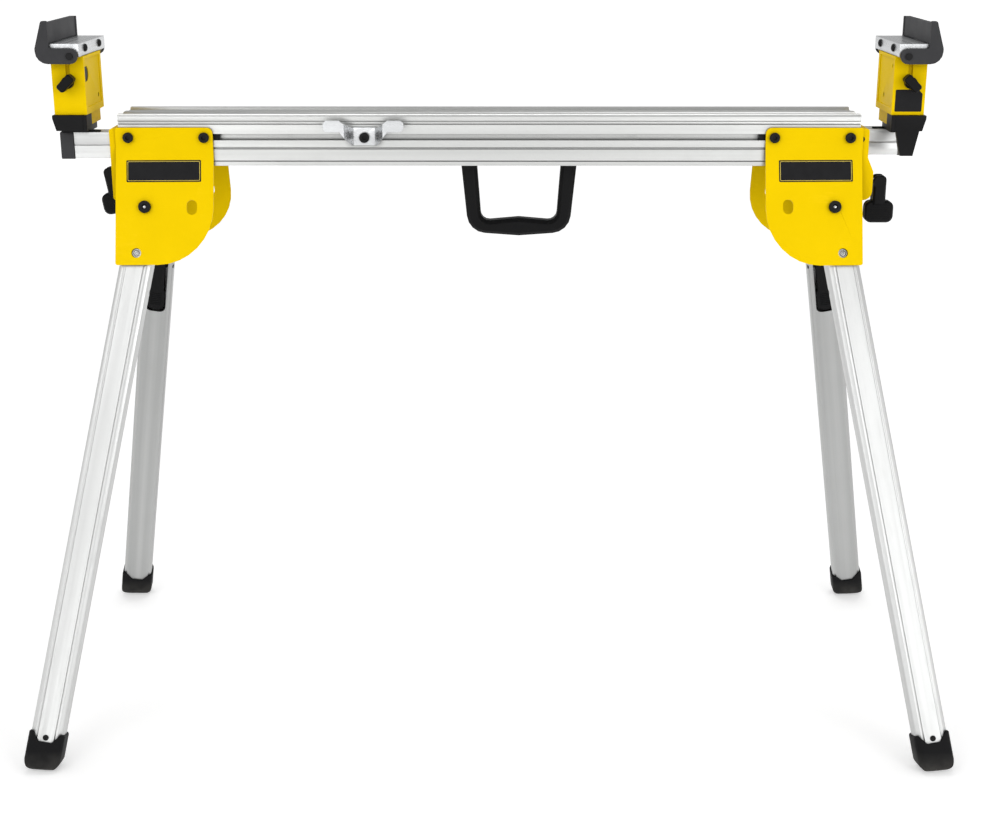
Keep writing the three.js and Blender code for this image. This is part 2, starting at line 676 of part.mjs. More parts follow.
function plateShape(side) {
  return rounded(mirrorCorners([
    [plateOutboard, plateBottom, PLATE_EDGE_RADIUS],
    [plateOutboard, BEAM_TOP - PLATE_TOP_DROP, PLATE_EDGE_RADIUS],
    [plateInboard, BEAM_TOP - PLATE_TOP_DROP, PLATE_CORNER_RADIUS],
    [plateInboard, plateBottom, PLATE_CURVE_RADIUS],
  ], side), 2 * ARC_STEPS);
}

// Everything on the beam's side of the bent sheet's outer (or inner) face
function behindPlate(side, flange, slope, far) {
  const x0 = side * (plateInboard - far);
  const x1 = side * (plateOutboard + far);
  const flat = block(x0, x1, -flange, far, plateBottom - far, BEAM_TOP + far);
  const tilted = block(-BEAM_DEPTH - far, BEAM_DEPTH + far, -slope, BEAM_DEPTH + far,
    -BEAM_DEPTH * 2, BEAM_DEPTH * 2).applyMatrix4(legFrame(side));
  return solid(flat).add(solid(tilted));
}

// The pin's place in the plate at rest and, a fold later, when the leg is put away
function lockPlace(turn, side) {
  return [-side * LOCK_PIN_DROP * Math.sin(turn), -LOCK_PIN_DROP * Math.cos(turn)];
}

function lockSlot(side) {
  const [x, z] = lockPlace(foldAngle, side);
  const half = LOCK_SLOT_WIDTH / 2;
  const reach = LOCK_SLOT_HEIGHT / 2;
  const slot = alongY(roundRectangle(-half, half, -reach, reach, half - TOUCH / 2),
    -plateFront - OVERRUN, -plateBack + OVERRUN);
  return slot.rotateY(side * LEG_LEAN).translate(x, 0, z);
}

function buildPlate(set, side) {
  const far = BEAM_DEPTH / 2;
  const sheet = behindPlate(side, plateOuter, plateFront, far)
    .subtract(behindPlate(side, plateInner, plateBack, far + OVERRUN))
    .intersect(solid(alongY(plateShape(side), -plateBottom, -beamFace)));
  const frame = legFrame(side);
  const through = [-plateFront - OVERRUN, -plateBack + OVERRUN];
  const [pinX, pinZ] = lockPlace(0, side);
  const holes = [
    alongY(disc(0, 0, BOLT_RADIUS + TOUCH), ...through).applyMatrix4(frame),
    alongY(disc(pinX, pinZ, LOCK_PIN_RADIUS + 2 * TOUCH), ...through).applyMatrix4(frame),
    lockSlot(side).applyMatrix4(frame),
    ...screwReaches.map((reach) => alongY(
      disc(side * reach, slotHeight, SCREW_RADIUS + SCREW_PLAY),
      -plateOuter - OVERRUN, -plateInner + OVERRUN)),
  ];
  return addPiece(set.group, `${set.name}_plate`, cut(sheet, ...holes), 'yellow');
}

// A round head with a hex socket, its flat underside at y, drawn towards -Y
function socketHead(x, y, z, radius, height) {
  const head = solid(alongY(disc(x, z, radius, FINE_SIDES), y - height, y, SCREW_HEAD_HEIGHT / 5));
  const socket = alongY(disc(x, z, SOCKET_RADIUS, HEX_SIDES),
    y - height - OVERRUN, y - height + SOCKET_DEPTH);
  return cut(head, socket);
}

// A bar in the slot behind each plate, with the two screws that clamp the plate to it
function buildClampBar(set, side) {
  const barFront = beamFace - SLOT_LIP - TOUCH;
  const barHalf = SLOT_CAVITY / 2 - TOUCH;
  const bar = join(
    block(side * (plateInboard - BAR_OVERHANG), side * (plateOutboard - BAR_THICKNESS),
      -barFront, -barFront + BAR_THICKNESS, slotHeight - barHalf, slotHeight + barHalf),
    ...screwReaches.map((reach) => alongY(disc(side * reach, slotHeight, SCREW_RADIUS),
      -plateOuter - TOUCH * 2, -barFront + TOUCH)),
  );
  const heads = screwReaches.map((reach) => socketHead(side * reach,
    -plateOuter - TOUCH, slotHeight, SCREW_HEAD_RADIUS, SCREW_HEAD_HEIGHT));
  const whole = heads.reduce((rest, head) => rest.add(head), bar);
  addPiece(set.group, `${set.name}_clamp_bar`, whole, 'screw');
}

// Pivot bolt: socket head outside the plate, collar between plate and leg, nut inside
function buildPivotBolt(set) {
  const shank = alongY(disc(0, 0, BOLT_RADIUS), -plateFront - TOUCH * 2, legFace + NUT_HEIGHT);
  const collar = alongY(disc(0, 0, BOLT_COLLAR_RADIUS), -plateBack + TOUCH, -legFace - TOUCH);
  const nut = alongY(disc(0, 0, NUT_RADIUS, HEX_SIDES), legFace + TOUCH,
    legFace + TOUCH + NUT_HEIGHT);
  const head = socketHead(0, -plateFront - TOUCH, 0, PIVOT_HEAD_RADIUS, SCREW_HEAD_HEIGHT);
  addPiece(set.leg, `${set.name}_pivot_bolt`, join(shank, collar, nut).add(head), 'screw');
}

// Legs

// Half of the leg's outline, from the ridge's middle round to the inner face
function legHalfOutline(grow) {
  const ridge = LEG_RIDGE_WIDTH / 2;
  const groove = ridge + LEG_GROOVE_WIDTH;
  const front = -legFace - grow;
  const back = legFace + grow;
  const side = legSide + grow;
  const shoulder = front + LEG_SHOULDER_DROP;
  const floor = front + LEG_GROOVE_DEPTH;
  const slant = LEG_GROOVE_WIDTH / 4;
  return [
    [ridge, front],
    [ridge + slant, floor],
    [groove - slant, floor],
    [groove, shoulder],
    [side - LEG_SHOULDER_RADIUS, shoulder],
    [side - LEG_SHOULDER_RADIUS / 4, shoulder + LEG_SHOULDER_RADIUS / 3],
    [side, shoulder + LEG_SHOULDER_RADIUS],
    [side, back - LEG_INNER_RADIUS],
    [side - LEG_INNER_RADIUS / 3, back - LEG_INNER_RADIUS / 3],
    [side - LEG_INNER_RADIUS, back],
  ];
}

function legShape(grow) {
  const half = legHalfOutline(grow);
  const mirrored = half.map(([x, y]) => [-x, y]).reverse();
  return outline([...half, ...mirrored]);
}

function legHollow() {
  const side = legSide - LEG_WALL;
  const front = -legFace + LEG_GROOVE_DEPTH + LEG_WALL;
  const back = legFace - LEG_WALL;
  const slope = LEG_SHOULDER_RADIUS - LEG_WALL;
  return outline([
    [-side, front + slope], [-side + slope, front], [side - slope, front], [side, front + slope],
    [side, back - LEG_WALL], [side - LEG_WALL, back], [-side + LEG_WALL, back],
    [-side, back - LEG_WALL],
  ]);
}

function buildLeg(set) {
  const end = -legLength + FOOT_SOLE;
  const profile = legShape(0);
  profile.holes.push(legHollow());
  const tube = solid(alongZ(profile, end, legSide));
  const silhouette = rounded([
    [-legSide - OVERRUN, end - OVERRUN], [legSide + OVERRUN, end - OVERRUN],
    [legSide + OVERRUN, -OVERRUN], [legSide, 0], [legSide, legSide, legSide],
    [-legSide, legSide, legSide], [-legSide, 0], [-legSide - OVERRUN, -OVERRUN],
  ], 2 * ARC_STEPS);
  const far = legFace + OVERRUN;
  const windowHalf = LOCK_WINDOW_WIDTH / 2;
  const lockWindow = alongY(roundRectangle(-windowHalf, windowHalf,
    -LOCK_LEVER_END - LOCK_WINDOW_MARGIN, -LOCK_LEVER_TOP + LOCK_WINDOW_MARGIN / 2,
    LOCK_PAD_WIDTH / 3), legFace - LEG_WALL * 2, far);
  const side = legSide + OVERRUN;
  const leg = cut(tube.intersect(solid(alongY(silhouette, -far, far))),
    alongY(disc(0, 0, BOLT_RADIUS + TOUCH), -far, far),
    alongY(disc(0, -LOCK_PIN_DROP, LOCK_PIN_RADIUS + TOUCH), -far, 0),
    alongX(disc(LOCK_FULCRUM_DEPTH, -LOCK_FULCRUM_DROP, LOCK_FULCRUM_RADIUS + TOUCH), -side, side),
    lockWindow);
  addPiece(set.leg, `${set.name}_leg`, leg, 'aluminium');
}

function buildFoot(set) {
  const bottom = -legLength - FOOT_BULGE;
  const top = bottom + FOOT_HEIGHT;
  const half = FOOT_WIDTH / 2;
  const deep = FOOT_THICKNESS / 2;
  const fromFront = alongY(rounded([
    [-half, bottom, FOOT_RADIUS], [half, bottom, FOOT_RADIUS],
    [half, top, FOOT_RIM_RADIUS], [-half, top, FOOT_RIM_RADIUS],
  ], 2 * ARC_STEPS), -half, half);
  const fromSide = alongX(rounded([
    [-deep, bottom, FOOT_SIDE_RADIUS], [deep, bottom, FOOT_SIDE_RADIUS], [deep, top], [-deep, top],
  ], 2 * ARC_STEPS), -half, half);
  const fromAbove = alongZ(rounded([
    [-half, -deep, FOOT_CORNER_RADIUS], [half, -deep, FOOT_CORNER_RADIUS],
    [half, deep, FOOT_RIM_RADIUS], [-half, deep, FOOT_RIM_RADIUS],
  ]), bottom, top);
  const floor = block(-BEAM_LENGTH, BEAM_LENGTH, -BEAM_LENGTH, BEAM_LENGTH, -BEAM_DEPTH, 0);
  floor.applyMatrix4(legFrame(set.side).invert());
  const socket = alongZ(legShape(TOUCH), -legLength + FOOT_SOLE - TOUCH, top + OVERRUN);
  const notchHalf = FOOT_NOTCH_WIDTH / 2;
  const notchTopHalf = FOOT_NOTCH_TOP_WIDTH / 2;
  const notch = alongY(outline([
    [-notchHalf, top - FOOT_NOTCH_HEIGHT], [notchHalf, top - FOOT_NOTCH_HEIGHT],
    [notchTopHalf, top], [notchTopHalf, top + OVERRUN],
    [-notchTopHalf, top + OVERRUN], [-notchTopHalf, top],
  ]), -deep - OVERRUN, deep + OVERRUN);
  const foot = solid(fromFront).intersect(solid(fromSide)).intersect(solid(fromAbove));
  addPiece(set.leg, `${set.name}_foot`, cut(foot, socket, notch, floor), 'black');
}

// Leg lock lever, with the trunnions that it rocks on and a fork for the pin's neck
function buildLockLever(set) {
  const face = legFace + LOCK_LEVER_PROUD;
  const half = LOCK_LEVER_WIDTH / 2;
  const padHalf = LOCK_PAD_WIDTH / 2;
  const padTop = -LOCK_LEVER_END + LOCK_PAD_LENGTH;
  const trunnion = legSide - TOUCH;
  const body = join(
    alongY(rounded([
      [-half, -LOCK_LEVER_TOP], [-half, padTop + LOCK_LEVER_PROUD],
      [-padHalf, padTop - LOCK_LEVER_PROUD],
      [-padHalf, -LOCK_LEVER_END, padHalf * LOCK_PAD_ROUND_SHARE],
      [padHalf, -LOCK_LEVER_END, padHalf * LOCK_PAD_ROUND_SHARE], [padHalf, padTop - LOCK_LEVER_PROUD],
      [half, padTop + LOCK_LEVER_PROUD], [half, -LOCK_LEVER_TOP],
    ]), LOCK_LEVER_BACK, face),
    alongX(disc(LOCK_FULCRUM_DEPTH, -LOCK_FULCRUM_DROP, LOCK_FULCRUM_RADIUS), -trunnion, trunnion),
  );
  const neckHalf = LOCK_PIN_NECK + SCREW_PLAY;
  const lever = cut(body,
    block(-half - OVERRUN, half + OVERRUN, LOCK_FORK_FACE, face + OVERRUN,
      -LOCK_LEVER_TOP - LOCK_FORK_LENGTH, OVERRUN - LOCK_LEVER_TOP),
    block(-neckHalf, neckHalf, LOCK_LEVER_BACK - OVERRUN, face + OVERRUN,
      -LOCK_PIN_DROP - neckHalf, OVERRUN - LOCK_LEVER_TOP));
  addPiece(set.leg, `${set.name}_lock_lever`, lever, 'black');
}

function buildLockPin(set) {
  const head = LOCK_FORK_FACE + LOCK_HEAD_SLACK;
  const pin = join(
    alongY(disc(0, -LOCK_PIN_DROP, LOCK_PIN_RADIUS), -plateBack + TOUCH, LOCK_PIN_SHOULDER),
    alongY(disc(0, -LOCK_PIN_DROP, LOCK_PIN_NECK), 0, head + TOUCH),
    alongY(disc(0, -LOCK_PIN_DROP, LOCK_PIN_HEAD_RADIUS), head, head + LOCK_PIN_HEAD),
  );
  addPiece(set.leg, `${set.name}_lock_pin`, pin, 'steel');
}

function buildLegSet(parent, side, row) {
  const group = new THREE.Group();
  const leg = new THREE.Group();
  leg.applyMatrix4(legFrame(side));
  group.add(leg);
  const place = row === 'front' ? side : -side;
  if (row === 'rear') group.rotation.z = Math.PI;
  parent.add(group);
  const set = { group, leg, side, name: `${row}_${endName(place)}` };
  buildPlate(set, side);
  buildClampBar(set, side);
  buildPivotBolt(set);
  buildLeg(set);
  buildFoot(set);
  buildLockLever(set);
  buildLockPin(set);
}

// Extension arms and their plugs

function buildArm(stand, side) {
  const middle = (side * armSpacing) / 2;
  const half = ARM_DEPTH / 2;
  const centre = (armBottom + armTop) / 2;
  const notch = (face, inward) => [
    [face, centre - ARM_GROOVE],
    [face - inward * ARM_GROOVE, centre],
    [face, centre + ARM_GROOVE],
  ];
  const shape = outline([
    [middle - half, armBottom], [middle + half, armBottom], ...notch(middle + half, 1),
    [middle + half, armTop], [middle - half, armTop], ...notch(middle - half, -1).reverse(),
  ]);
  const inner = half - ARM_WALL;
  shape.holes.push(rectangle(middle - inner, middle + inner, armBottom + ARM_WALL,
    armTop - ARM_WALL));
  const arm = alongX(shape, -side * armInner, side * armReach);
  addPiece(stand, `${endName(side)}_arm`, arm, 'aluminium');

  const plug = half - ARM_WALL - TOUCH;
  const start = armReach + TOUCH;
  const cap = join(
    alongX(roundRectangle(middle - half - ARM_CAP_LIP, middle + half + ARM_CAP_LIP,
      armBottom - ARM_CAP_LIP, armTop, ARM_CAP_RADIUS),
    side * start, side * (start + ARM_CAP_LENGTH)),
    block(side * (armReach - ARM_CAP_TONGUE), side * (start + TOUCH), middle - plug,
      middle + plug, armBottom + ARM_WALL + TOUCH, armTop - ARM_WALL - TOUCH),
  );
  addPiece(stand, `${endName(side)}_arm_cap`, cap, 'grey');
}

// Support heads: base and post on the arm, and the sleeve that slides up the post

function headSpan(side, width, shift = 0) {
  const middle = headReach + shift;
  return [side * (middle - width / 2), side * (middle + width / 2)];
}

function postWidth() {
  return SLEEVE_WIDTH - 2 * SLEEVE_WALL - 2 * POST_PLAY;
}

function tongueShape(side, top) {
  const middle = headReach + TONGUE_SHIFT;
  return outline(mirrorCorners([
    [middle - TONGUE_TOP_WIDTH / 2, top], [middle + TONGUE_TOP_WIDTH / 2, top],
    [middle + TONGUE_WIDTH / 2, armTop - TONGUE_LENGTH],
    [middle - TONGUE_WIDTH / 2, armTop - TONGUE_LENGTH],
  ], side));
}

function buildBase(stand, side) {
  const floor = armTop + TOUCH;
  const blockBottom = floor + BASE_RISE;
  const seatFloor = blockBottom + BASE_FLOOR;
  const top = sleeveBottom - TOUCH;
  const inner = headReach + BASE_SHIFT - BASE_WIDTH / 2;
  const outer = inner + BASE_WIDTH;
  const armFront = (side * armSpacing) / 2 - ARM_DEPTH / 2;
  const front = alongY(outline(mirrorCorners([
    [inner, blockBottom], [outer - BASE_TAPER, blockBottom], [outer, top - BASE_TAPER],
    [outer, top], [inner, top],
  ], side)), -BASE_FRONT, -BASE_BLOCK_REAR);
  const pieces = [front,
    block(side * inner, side * (outer - BASE_TAPER), -BASE_PAD_FRONT, BASE_PAD_REAR, floor,
      seatFloor),
    block(side * (inner - BASE_STRIP_LENGTH), side * (inner + BASE_STRIP), armFront,
      armFront + BASE_STRIP, floor, floor + BASE_STRIP),
  ];
  if (side === RIGHT) {
    pieces.push(alongY(tongueShape(side, seatFloor), -BASE_FRONT, -BASE_FRONT + TONGUE_THICKNESS));
  }
  const [x0, x1] = headSpan(side, postWidth() + 2 * TOUCH);
  const seat = block(x0, x1, -SLEEVE_FRONT + SLEEVE_WALL, BASE_PAD_REAR + OVERRUN, seatFloor,
    top + OVERRUN);
  addPiece(stand, `${endName(side)}_base`, cut(join(...pieces), seat), 'black');
}

function buildPost(stand, side) {
  const front = SLEEVE_FRONT - SLEEVE_WALL - TOUCH;
  const [x0, x1] = headSpan(side, postWidth());
  const [inner0, inner1] = headSpan(side, postWidth() - 2 * POST_WALL);
  const shape = rectangle(x0, x1, -front, POST_REAR);
  shape.holes.push(rectangle(inner0, inner1, -front + POST_WALL, POST_REAR - POST_WALL));
  const post = alongZ(shape, postBottom, postBottom + POST_HEIGHT);
  addPiece(stand, `${endName(side)}_post`, post, 'yellow');
}

function sleeveNotch(x0, x1) {
  const low = armTop + SLEEVE_NOTCH_RISE;
  const high = low + SLEEVE_NOTCH_HEIGHT;
  const round = SLEEVE_NOTCH_HEIGHT / 2 - TOUCH;
  return alongX(rounded([
    [-SLEEVE_NOTCH_FRONT, low], [-SLEEVE_NOTCH_REAR, low, round],
    [-SLEEVE_NOTCH_REAR, high, round], [-SLEEVE_NOTCH_FRONT, high],
  ]), x0, x1);
}

function buildSleeve(stand, side) {
  const [x0, x1] = headSpan(side, SLEEVE_WIDTH);
  const [inner0, inner1] = headSpan(side, SLEEVE_WIDTH - 2 * SLEEVE_WALL);
  const shape = rectangle(x0, x1, -SLEEVE_FRONT, SLEEVE_REAR);
  const wall = SLEEVE_WALL;
  shape.holes.push(rectangle(inner0, inner1, -SLEEVE_FRONT + wall, SLEEVE_REAR - wall));
  const [slit0, slit1] = headSpan(side, SLEEVE_SLIT_WIDTH);
  const frontCut = [-SLEEVE_FRONT - OVERRUN, -SLEEVE_FRONT + wall + TOUCH];
  const inboard = side * (headReach - SLEEVE_WIDTH / 2);
  const margin = SLEEVE_RECESS_MARGIN;
  const sleeve = cut(solid(alongZ(shape, sleeveBottom, sleeveTop)),
    block(slit0, slit1, ...frontCut, knobHeight, knobHeight + SLEEVE_SLIT_HEIGHT),
    alongY(disc(side * headReach, knobHeight, SCREW_RADIUS + TOUCH), ...frontCut),
    alongY(disc(side * stopPivotReach, stopPivotHeight, STOP_ROD_RADIUS + TOUCH),
      -SLEEVE_FRONT - OVERRUN, SLEEVE_REAR + OVERRUN),
    block(inboard - side * OVERRUN, side * (trayInner + TRAY_SKIN + TOUCH),
      -SLEEVE_FRONT - OVERRUN, SLEEVE_REAR + OVERRUN, trayTop - TRAY_FLANGE - TOUCH, trayTop),
    block(inboard - side * OVERRUN, inboard + side * SLEEVE_RECESS, -SLEEVE_FRONT + margin,
      SLEEVE_REAR - margin, sleeveBottom + margin, trayTop - TRAY_FLANGE - margin / 2),
    ...SLEEVE_HOLES[endName(side)].map(([y, rise]) => alongX(
      disc(y, armTop + rise, SLEEVE_HOLE_RADIUS), inboard - side * OVERRUN, inboard + side * OVERRUN)),
    ...(side === LEFT ? [sleeveNotch(inboard - side * OVERRUN, inboard + side * OVERRUN)] : []));
  addPiece(stand, `${endName(side)}_sleeve`, sleeve, 'yellow');
}

// Tray: the work surface, with skirts down its sides and ears for the stop's rod
function buildTray(stand, side) {
  const inboard = trayInner + TRAY_SKIN;
  const outboard = trayOuter - TRAY_SKIN;
  const x0 = side * trayInner;
  const x1 = side * trayOuter;
  const pivot = side * stopPivotReach;
  const ear = TRAY_EAR_RADIUS;
  const solidTray = join(
    block(x0, x1, -TRAY_FRONT, TRAY_REAR, trayTop - TRAY_SKIRT, trayTop),
    block(x0, side * inboard, -TRAY_FRONT, TRAY_REAR, trayTop - TRAY_FLANGE, trayTop),
    block(pivot - ear, pivot + ear, -TRAY_FRONT, TRAY_REAR, stopPivotHeight, trayTop),
    alongY(disc(pivot, stopPivotHeight, ear, FINE_SIDES), -TRAY_FRONT, TRAY_REAR),
  );
  const tray = cut(solidTray,
    block(side * inboard, side * outboard, -TRAY_FRONT + TRAY_SKIN, TRAY_REAR - TRAY_SKIN,
      stopPivotHeight - ear - OVERRUN, trayTop - TRAY_SKIN - TRAY_STEP),
    block(side * (stopPostInner - SCREW_PLAY), x1 + side * OVERRUN, -TRAY_FRONT - OVERRUN,
      TRAY_REAR + OVERRUN, trayTop - TRAY_STEP, trayTop + OVERRUN),
    alongY(disc(pivot, stopPivotHeight, STOP_ROD_RADIUS + TOUCH),
      -TRAY_FRONT - OVERRUN, TRAY_REAR + OVERRUN));
  addPiece(stand, `${endName(side)}_tray`, tray, 'aluminium');
}

// Flip-over stop: two bent arms on a rod, joined by the fence between them

function stopShape(side) {
  const armHalf = STOP_ARM_WIDTH / 2;
  const crest = trayTop + STOP_RISE;
  const low = stopPivotHeight - armHalf;
  const high = stopPivotHeight + armHalf;
  return rounded(mirrorCorners([
    [stopPivotReach - armHalf, low, armHalf - TOUCH],
    [stopOuter, low, STOP_ELBOW_RADIUS],
    [stopOuter, high],
    [stopOuter - STOP_TAPER, crest, STOP_TOP_RADIUS],
    [stopPostInner, crest, STOP_TOP_RADIUS / 2],
    [stopPostInner, high, STOP_TOP_RADIUS],
    [stopPivotReach - armHalf, high, armHalf - TOUCH],
  ], side));
}

function buildStop(stand, side) {
  const shape = stopShape(side);
  const front = -TRAY_FRONT - SCREW_PLAY;
  const rear = TRAY_REAR + SCREW_PLAY;
  const frontFace = front - STOP_THICKNESS;
  const rearFace = rear + STOP_THICKNESS;
  const rodAt = (radius, y0, y1) => alongY(
    disc(side * stopPivotReach, stopPivotHeight, radius), y0, y1);
  const fenceInner = stopPostInner + STOP_FENCE_RECESS;
  const fence = block(side * fenceInner, side * (fenceInner + STOP_FENCE), frontFace, rearFace,
    trayTop + TOUCH, trayTop + STOP_RISE - STOP_FENCE_DROP);
  const stop = cut(
    join(alongY(shape, frontFace, front), alongY(shape, rear, rearFace), fence),
    rodAt(STOP_ROD_RADIUS + TOUCH, frontFace - OVERRUN, rearFace + OVERRUN),
  );
  addPiece(stand, `${endName(side)}_stop`, stop, 'grey');

  const headFront = frontFace - TOUCH;
  const headRear = rearFace + TOUCH;
  const rod = join(
    rodAt(STOP_ROD_RADIUS, headFront - TOUCH, headRear + TOUCH),
    rodAt(STOP_ROD_HEAD, headFront - STOP_ROD_HEAD_LENGTH, headFront),
    rodAt(STOP_ROD_HEAD, headRear, headRear + STOP_ROD_HEAD_LENGTH),
  );
  addPiece(stand, `${endName(side)}_stop_rod`, rod, 'screw');
}

function buildKnob(stand, side) {
  const face = -SLEEVE_FRONT - TOUCH;
  const boss = face - KNOB_BOSS_LENGTH;
  const half = KNOB_WING_LENGTH / 2;
  const wing = alongY(roundRectangle(-half, half, -KNOB_WING_WIDTH / 2, KNOB_WING_WIDTH / 2,
    KNOB_WING_RADIUS), boss - KNOB_WING_THICKNESS, boss + KNOB_BEVEL * 2, KNOB_BEVEL);
  wing.rotateY(side * KNOB_TURN).translate(side * headReach, 0, knobHeight);
  const stud = -SLEEVE_FRONT + SLEEVE_WALL;
  const knob = join(wing,
    alongY(disc(side * headReach, knobHeight, KNOB_BOSS_RADIUS), boss - TOUCH, face),
    alongY(disc(side * headReach, knobHeight, SCREW_RADIUS), face - TOUCH, stud));
  addPiece(stand, `${endName(side)}_knob`, knob, 'black');
}

// Handle, with the two screws that run up through its arms into the beam

function handleCorners() {
  const top = beamBottom - TOUCH;
  const bottom = beamBottom - HANDLE_DROP;
  const outer = HANDLE_TOP_WIDTH / 2;
  const low = HANDLE_GRIP_WIDTH / 2;
  const innerTop = outer - HANDLE_ARM_WIDTH;
  const innerLow = low - HANDLE_GRIP_END;
  const gripSide = bottom + HANDLE_GRIP_END + HANDLE_BEVEL / 2;
  return [
    [-outer, top], [-low, bottom + HANDLE_BEVEL, HANDLE_OUTER_RADIUS],
    [0, bottom], [low, bottom + HANDLE_BEVEL, HANDLE_OUTER_RADIUS], [outer, top],
    [innerTop, top], [innerLow, gripSide, HANDLE_INNER_RADIUS],
    [0, bottom + HANDLE_GRIP], [-innerLow, gripSide, HANDLE_INNER_RADIUS], [-innerTop, top],
  ];
}

function buildHandle(stand) {
  const half = HANDLE_THICKNESS / 2;
  const body = alongY(rounded(handleCorners()), -half, half, HANDLE_BEVEL);
  body.translate(HANDLE_OFFSET, 0, 0);
  const armMiddle = (HANDLE_TOP_WIDTH - HANDLE_ARM_WIDTH) / 2 - HANDLE_BEVEL / 2;
  const holes = [];
  [LEFT, RIGHT].forEach((side) => {
    const x = HANDLE_OFFSET + side * armMiddle;
    const low = beamBottom - HANDLE_SCREW_DEPTH;
    const screw = alongZ(disc(x, 0, HANDLE_SCREW_RADIUS), low, beamBottom - TOUCH);
    holes.push(alongZ(disc(x, 0, HANDLE_SCREW_RADIUS + TOUCH), low - TOUCH, beamBottom));
    addPiece(stand, `handle_screw_${endName(side)}`, screw, 'screw');
  });
  addPiece(stand, 'handle', cut(solid(body), ...holes), 'black');
}

// Cleat: a bent strip with two horns, on a screw and nut in the front slot

function cleatPlan() {
  const back = beamFace + TOUCH;
  const face = back + CLEAT_STRIP;
  const stand = back + CLEAT_STAND_OFF;
  const half = CLEAT_PLATE_WIDTH / 2;
  const wall = CLEAT_STRIP * 1.1;
  return outline([
    [-half, -back], [half, -back], [CLEAT_ELBOW + wall, -stand], [CLEAT_REACH, -stand],
    [CLEAT_REACH, -stand - CLEAT_STRIP], [CLEAT_ELBOW, -stand - CLEAT_STRIP],
    [half - wall, -face], [wall - half, -face], [-CLEAT_ELBOW, -stand - CLEAT_STRIP],
    [-CLEAT_REACH, -stand - CLEAT_STRIP], [-CLEAT_REACH, -stand], [-CLEAT_ELBOW - wall, -stand],
  ]);
}

function cleatFront() {
  const middle = BEAM_TOP - CLEAT_DROP;
  const bottom = middle - CLEAT_PLATE_HEIGHT / 2;
  const top = middle + CLEAT_PLATE_HEIGHT / 2;
  const hornTop = middle + CLEAT_HORN_RISE + CLEAT_HORN_HEIGHT / 2;
  const hornLow = hornTop - CLEAT_HORN_HEIGHT;
  const half = CLEAT_PLATE_WIDTH / 2;
  const right = [
    [half, bottom], [CLEAT_ELBOW, middle], [CLEAT_ELBOW + CLEAT_HORN_RADIUS, hornLow],
    [CLEAT_REACH, hornLow, CLEAT_HORN_RADIUS], [CLEAT_REACH, hornTop, CLEAT_HORN_RADIUS],
    [CLEAT_ELBOW + CLEAT_HORN_RADIUS, hornTop], [half, top],
  ];
  return rounded([...right, ...mirrorCorners(right, LEFT).reverse()]);
}

function buildCleat(stand) {
  const low = BEAM_TOP - CLEAT_DROP - CLEAT_PLATE_HEIGHT;
  const strip = solid(alongZ(cleatPlan(), low, BEAM_TOP + CLEAT_HORN_HEIGHT));
  const front = solid(alongY(cleatFront(), -beamFace * 2, 0));
  const hole = alongY(disc(0, slotHeight, SCREW_RADIUS + SCREW_PLAY), -beamFace * 2, 0);
  const cleat = geometryOf(cut(strip.intersect(front), hole)).translate(CLEAT_PLACE, 0, 0);
  addPiece(stand, 'cleat', cleat, 'aluminium');

  const nutFront = beamFace - SLOT_LIP - TOUCH;
  const nutHalf = SLOT_CAVITY / 2 - TOUCH;
  const face = beamFace + TOUCH + CLEAT_STRIP + TOUCH;
  const screw = join(
    block(-TEE_NUT_LENGTH / 2, TEE_NUT_LENGTH / 2, -nutFront, -nutFront + BAR_THICKNESS,
      slotHeight - nutHalf, slotHeight + nutHalf),
    alongY(disc(0, slotHeight, SCREW_RADIUS), -face - TOUCH, -nutFront + TOUCH),
  ).add(socketHead(0, -face, slotHeight, CLEAT_SCREW_HEAD, SCREW_HEAD_HEIGHT));
  const placed = geometryOf(screw).translate(CLEAT_PLACE, 0, 0);
  addPiece(stand, 'cleat_screw', placed, 'screw');
}

// The whole stand

function buildStand() {
  const stand = new THREE.Group();
  buildBeam(stand);
  buildHandle(stand);
  buildCleat(stand);
  [LEFT, RIGHT].forEach((side) => {
    buildEndCap(stand, side);
    buildArmClamp(stand, side);
    buildLegSet(stand, side, 'front');
    buildLegSet(stand, side, 'rear');
    buildArm(stand, side);
    buildBase(stand, side);
    buildPost(stand, side);
    buildSleeve(stand, side);
    buildTray(stand, side);
    buildStop(stand, side);
    buildKnob(stand, side);
  });
  return stand;
}

export default buildStand();
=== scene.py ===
import json
import math

import bmesh
import bpy
from mathutils import Matrix, Vector

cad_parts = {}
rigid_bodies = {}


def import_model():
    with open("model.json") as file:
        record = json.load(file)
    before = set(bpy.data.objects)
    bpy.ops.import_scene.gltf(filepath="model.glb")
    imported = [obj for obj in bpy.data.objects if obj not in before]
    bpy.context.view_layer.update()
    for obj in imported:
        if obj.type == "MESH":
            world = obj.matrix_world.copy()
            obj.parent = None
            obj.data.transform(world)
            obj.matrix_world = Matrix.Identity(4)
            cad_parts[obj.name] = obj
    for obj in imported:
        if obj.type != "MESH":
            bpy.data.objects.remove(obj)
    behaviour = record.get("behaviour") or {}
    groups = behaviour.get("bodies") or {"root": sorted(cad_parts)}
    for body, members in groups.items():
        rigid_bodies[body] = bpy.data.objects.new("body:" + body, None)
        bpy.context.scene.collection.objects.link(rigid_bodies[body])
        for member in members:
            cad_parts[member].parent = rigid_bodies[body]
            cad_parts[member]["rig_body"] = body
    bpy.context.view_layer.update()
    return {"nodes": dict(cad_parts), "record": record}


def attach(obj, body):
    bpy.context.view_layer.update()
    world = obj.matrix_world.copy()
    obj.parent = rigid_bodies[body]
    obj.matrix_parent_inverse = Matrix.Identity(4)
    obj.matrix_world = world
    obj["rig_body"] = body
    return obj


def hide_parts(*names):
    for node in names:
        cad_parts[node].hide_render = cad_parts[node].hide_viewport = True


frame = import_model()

# How the finished mitre saw stand looks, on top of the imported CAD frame.
# Metres, +Z up, +X along the beam, the front of the stand looks towards -Y.

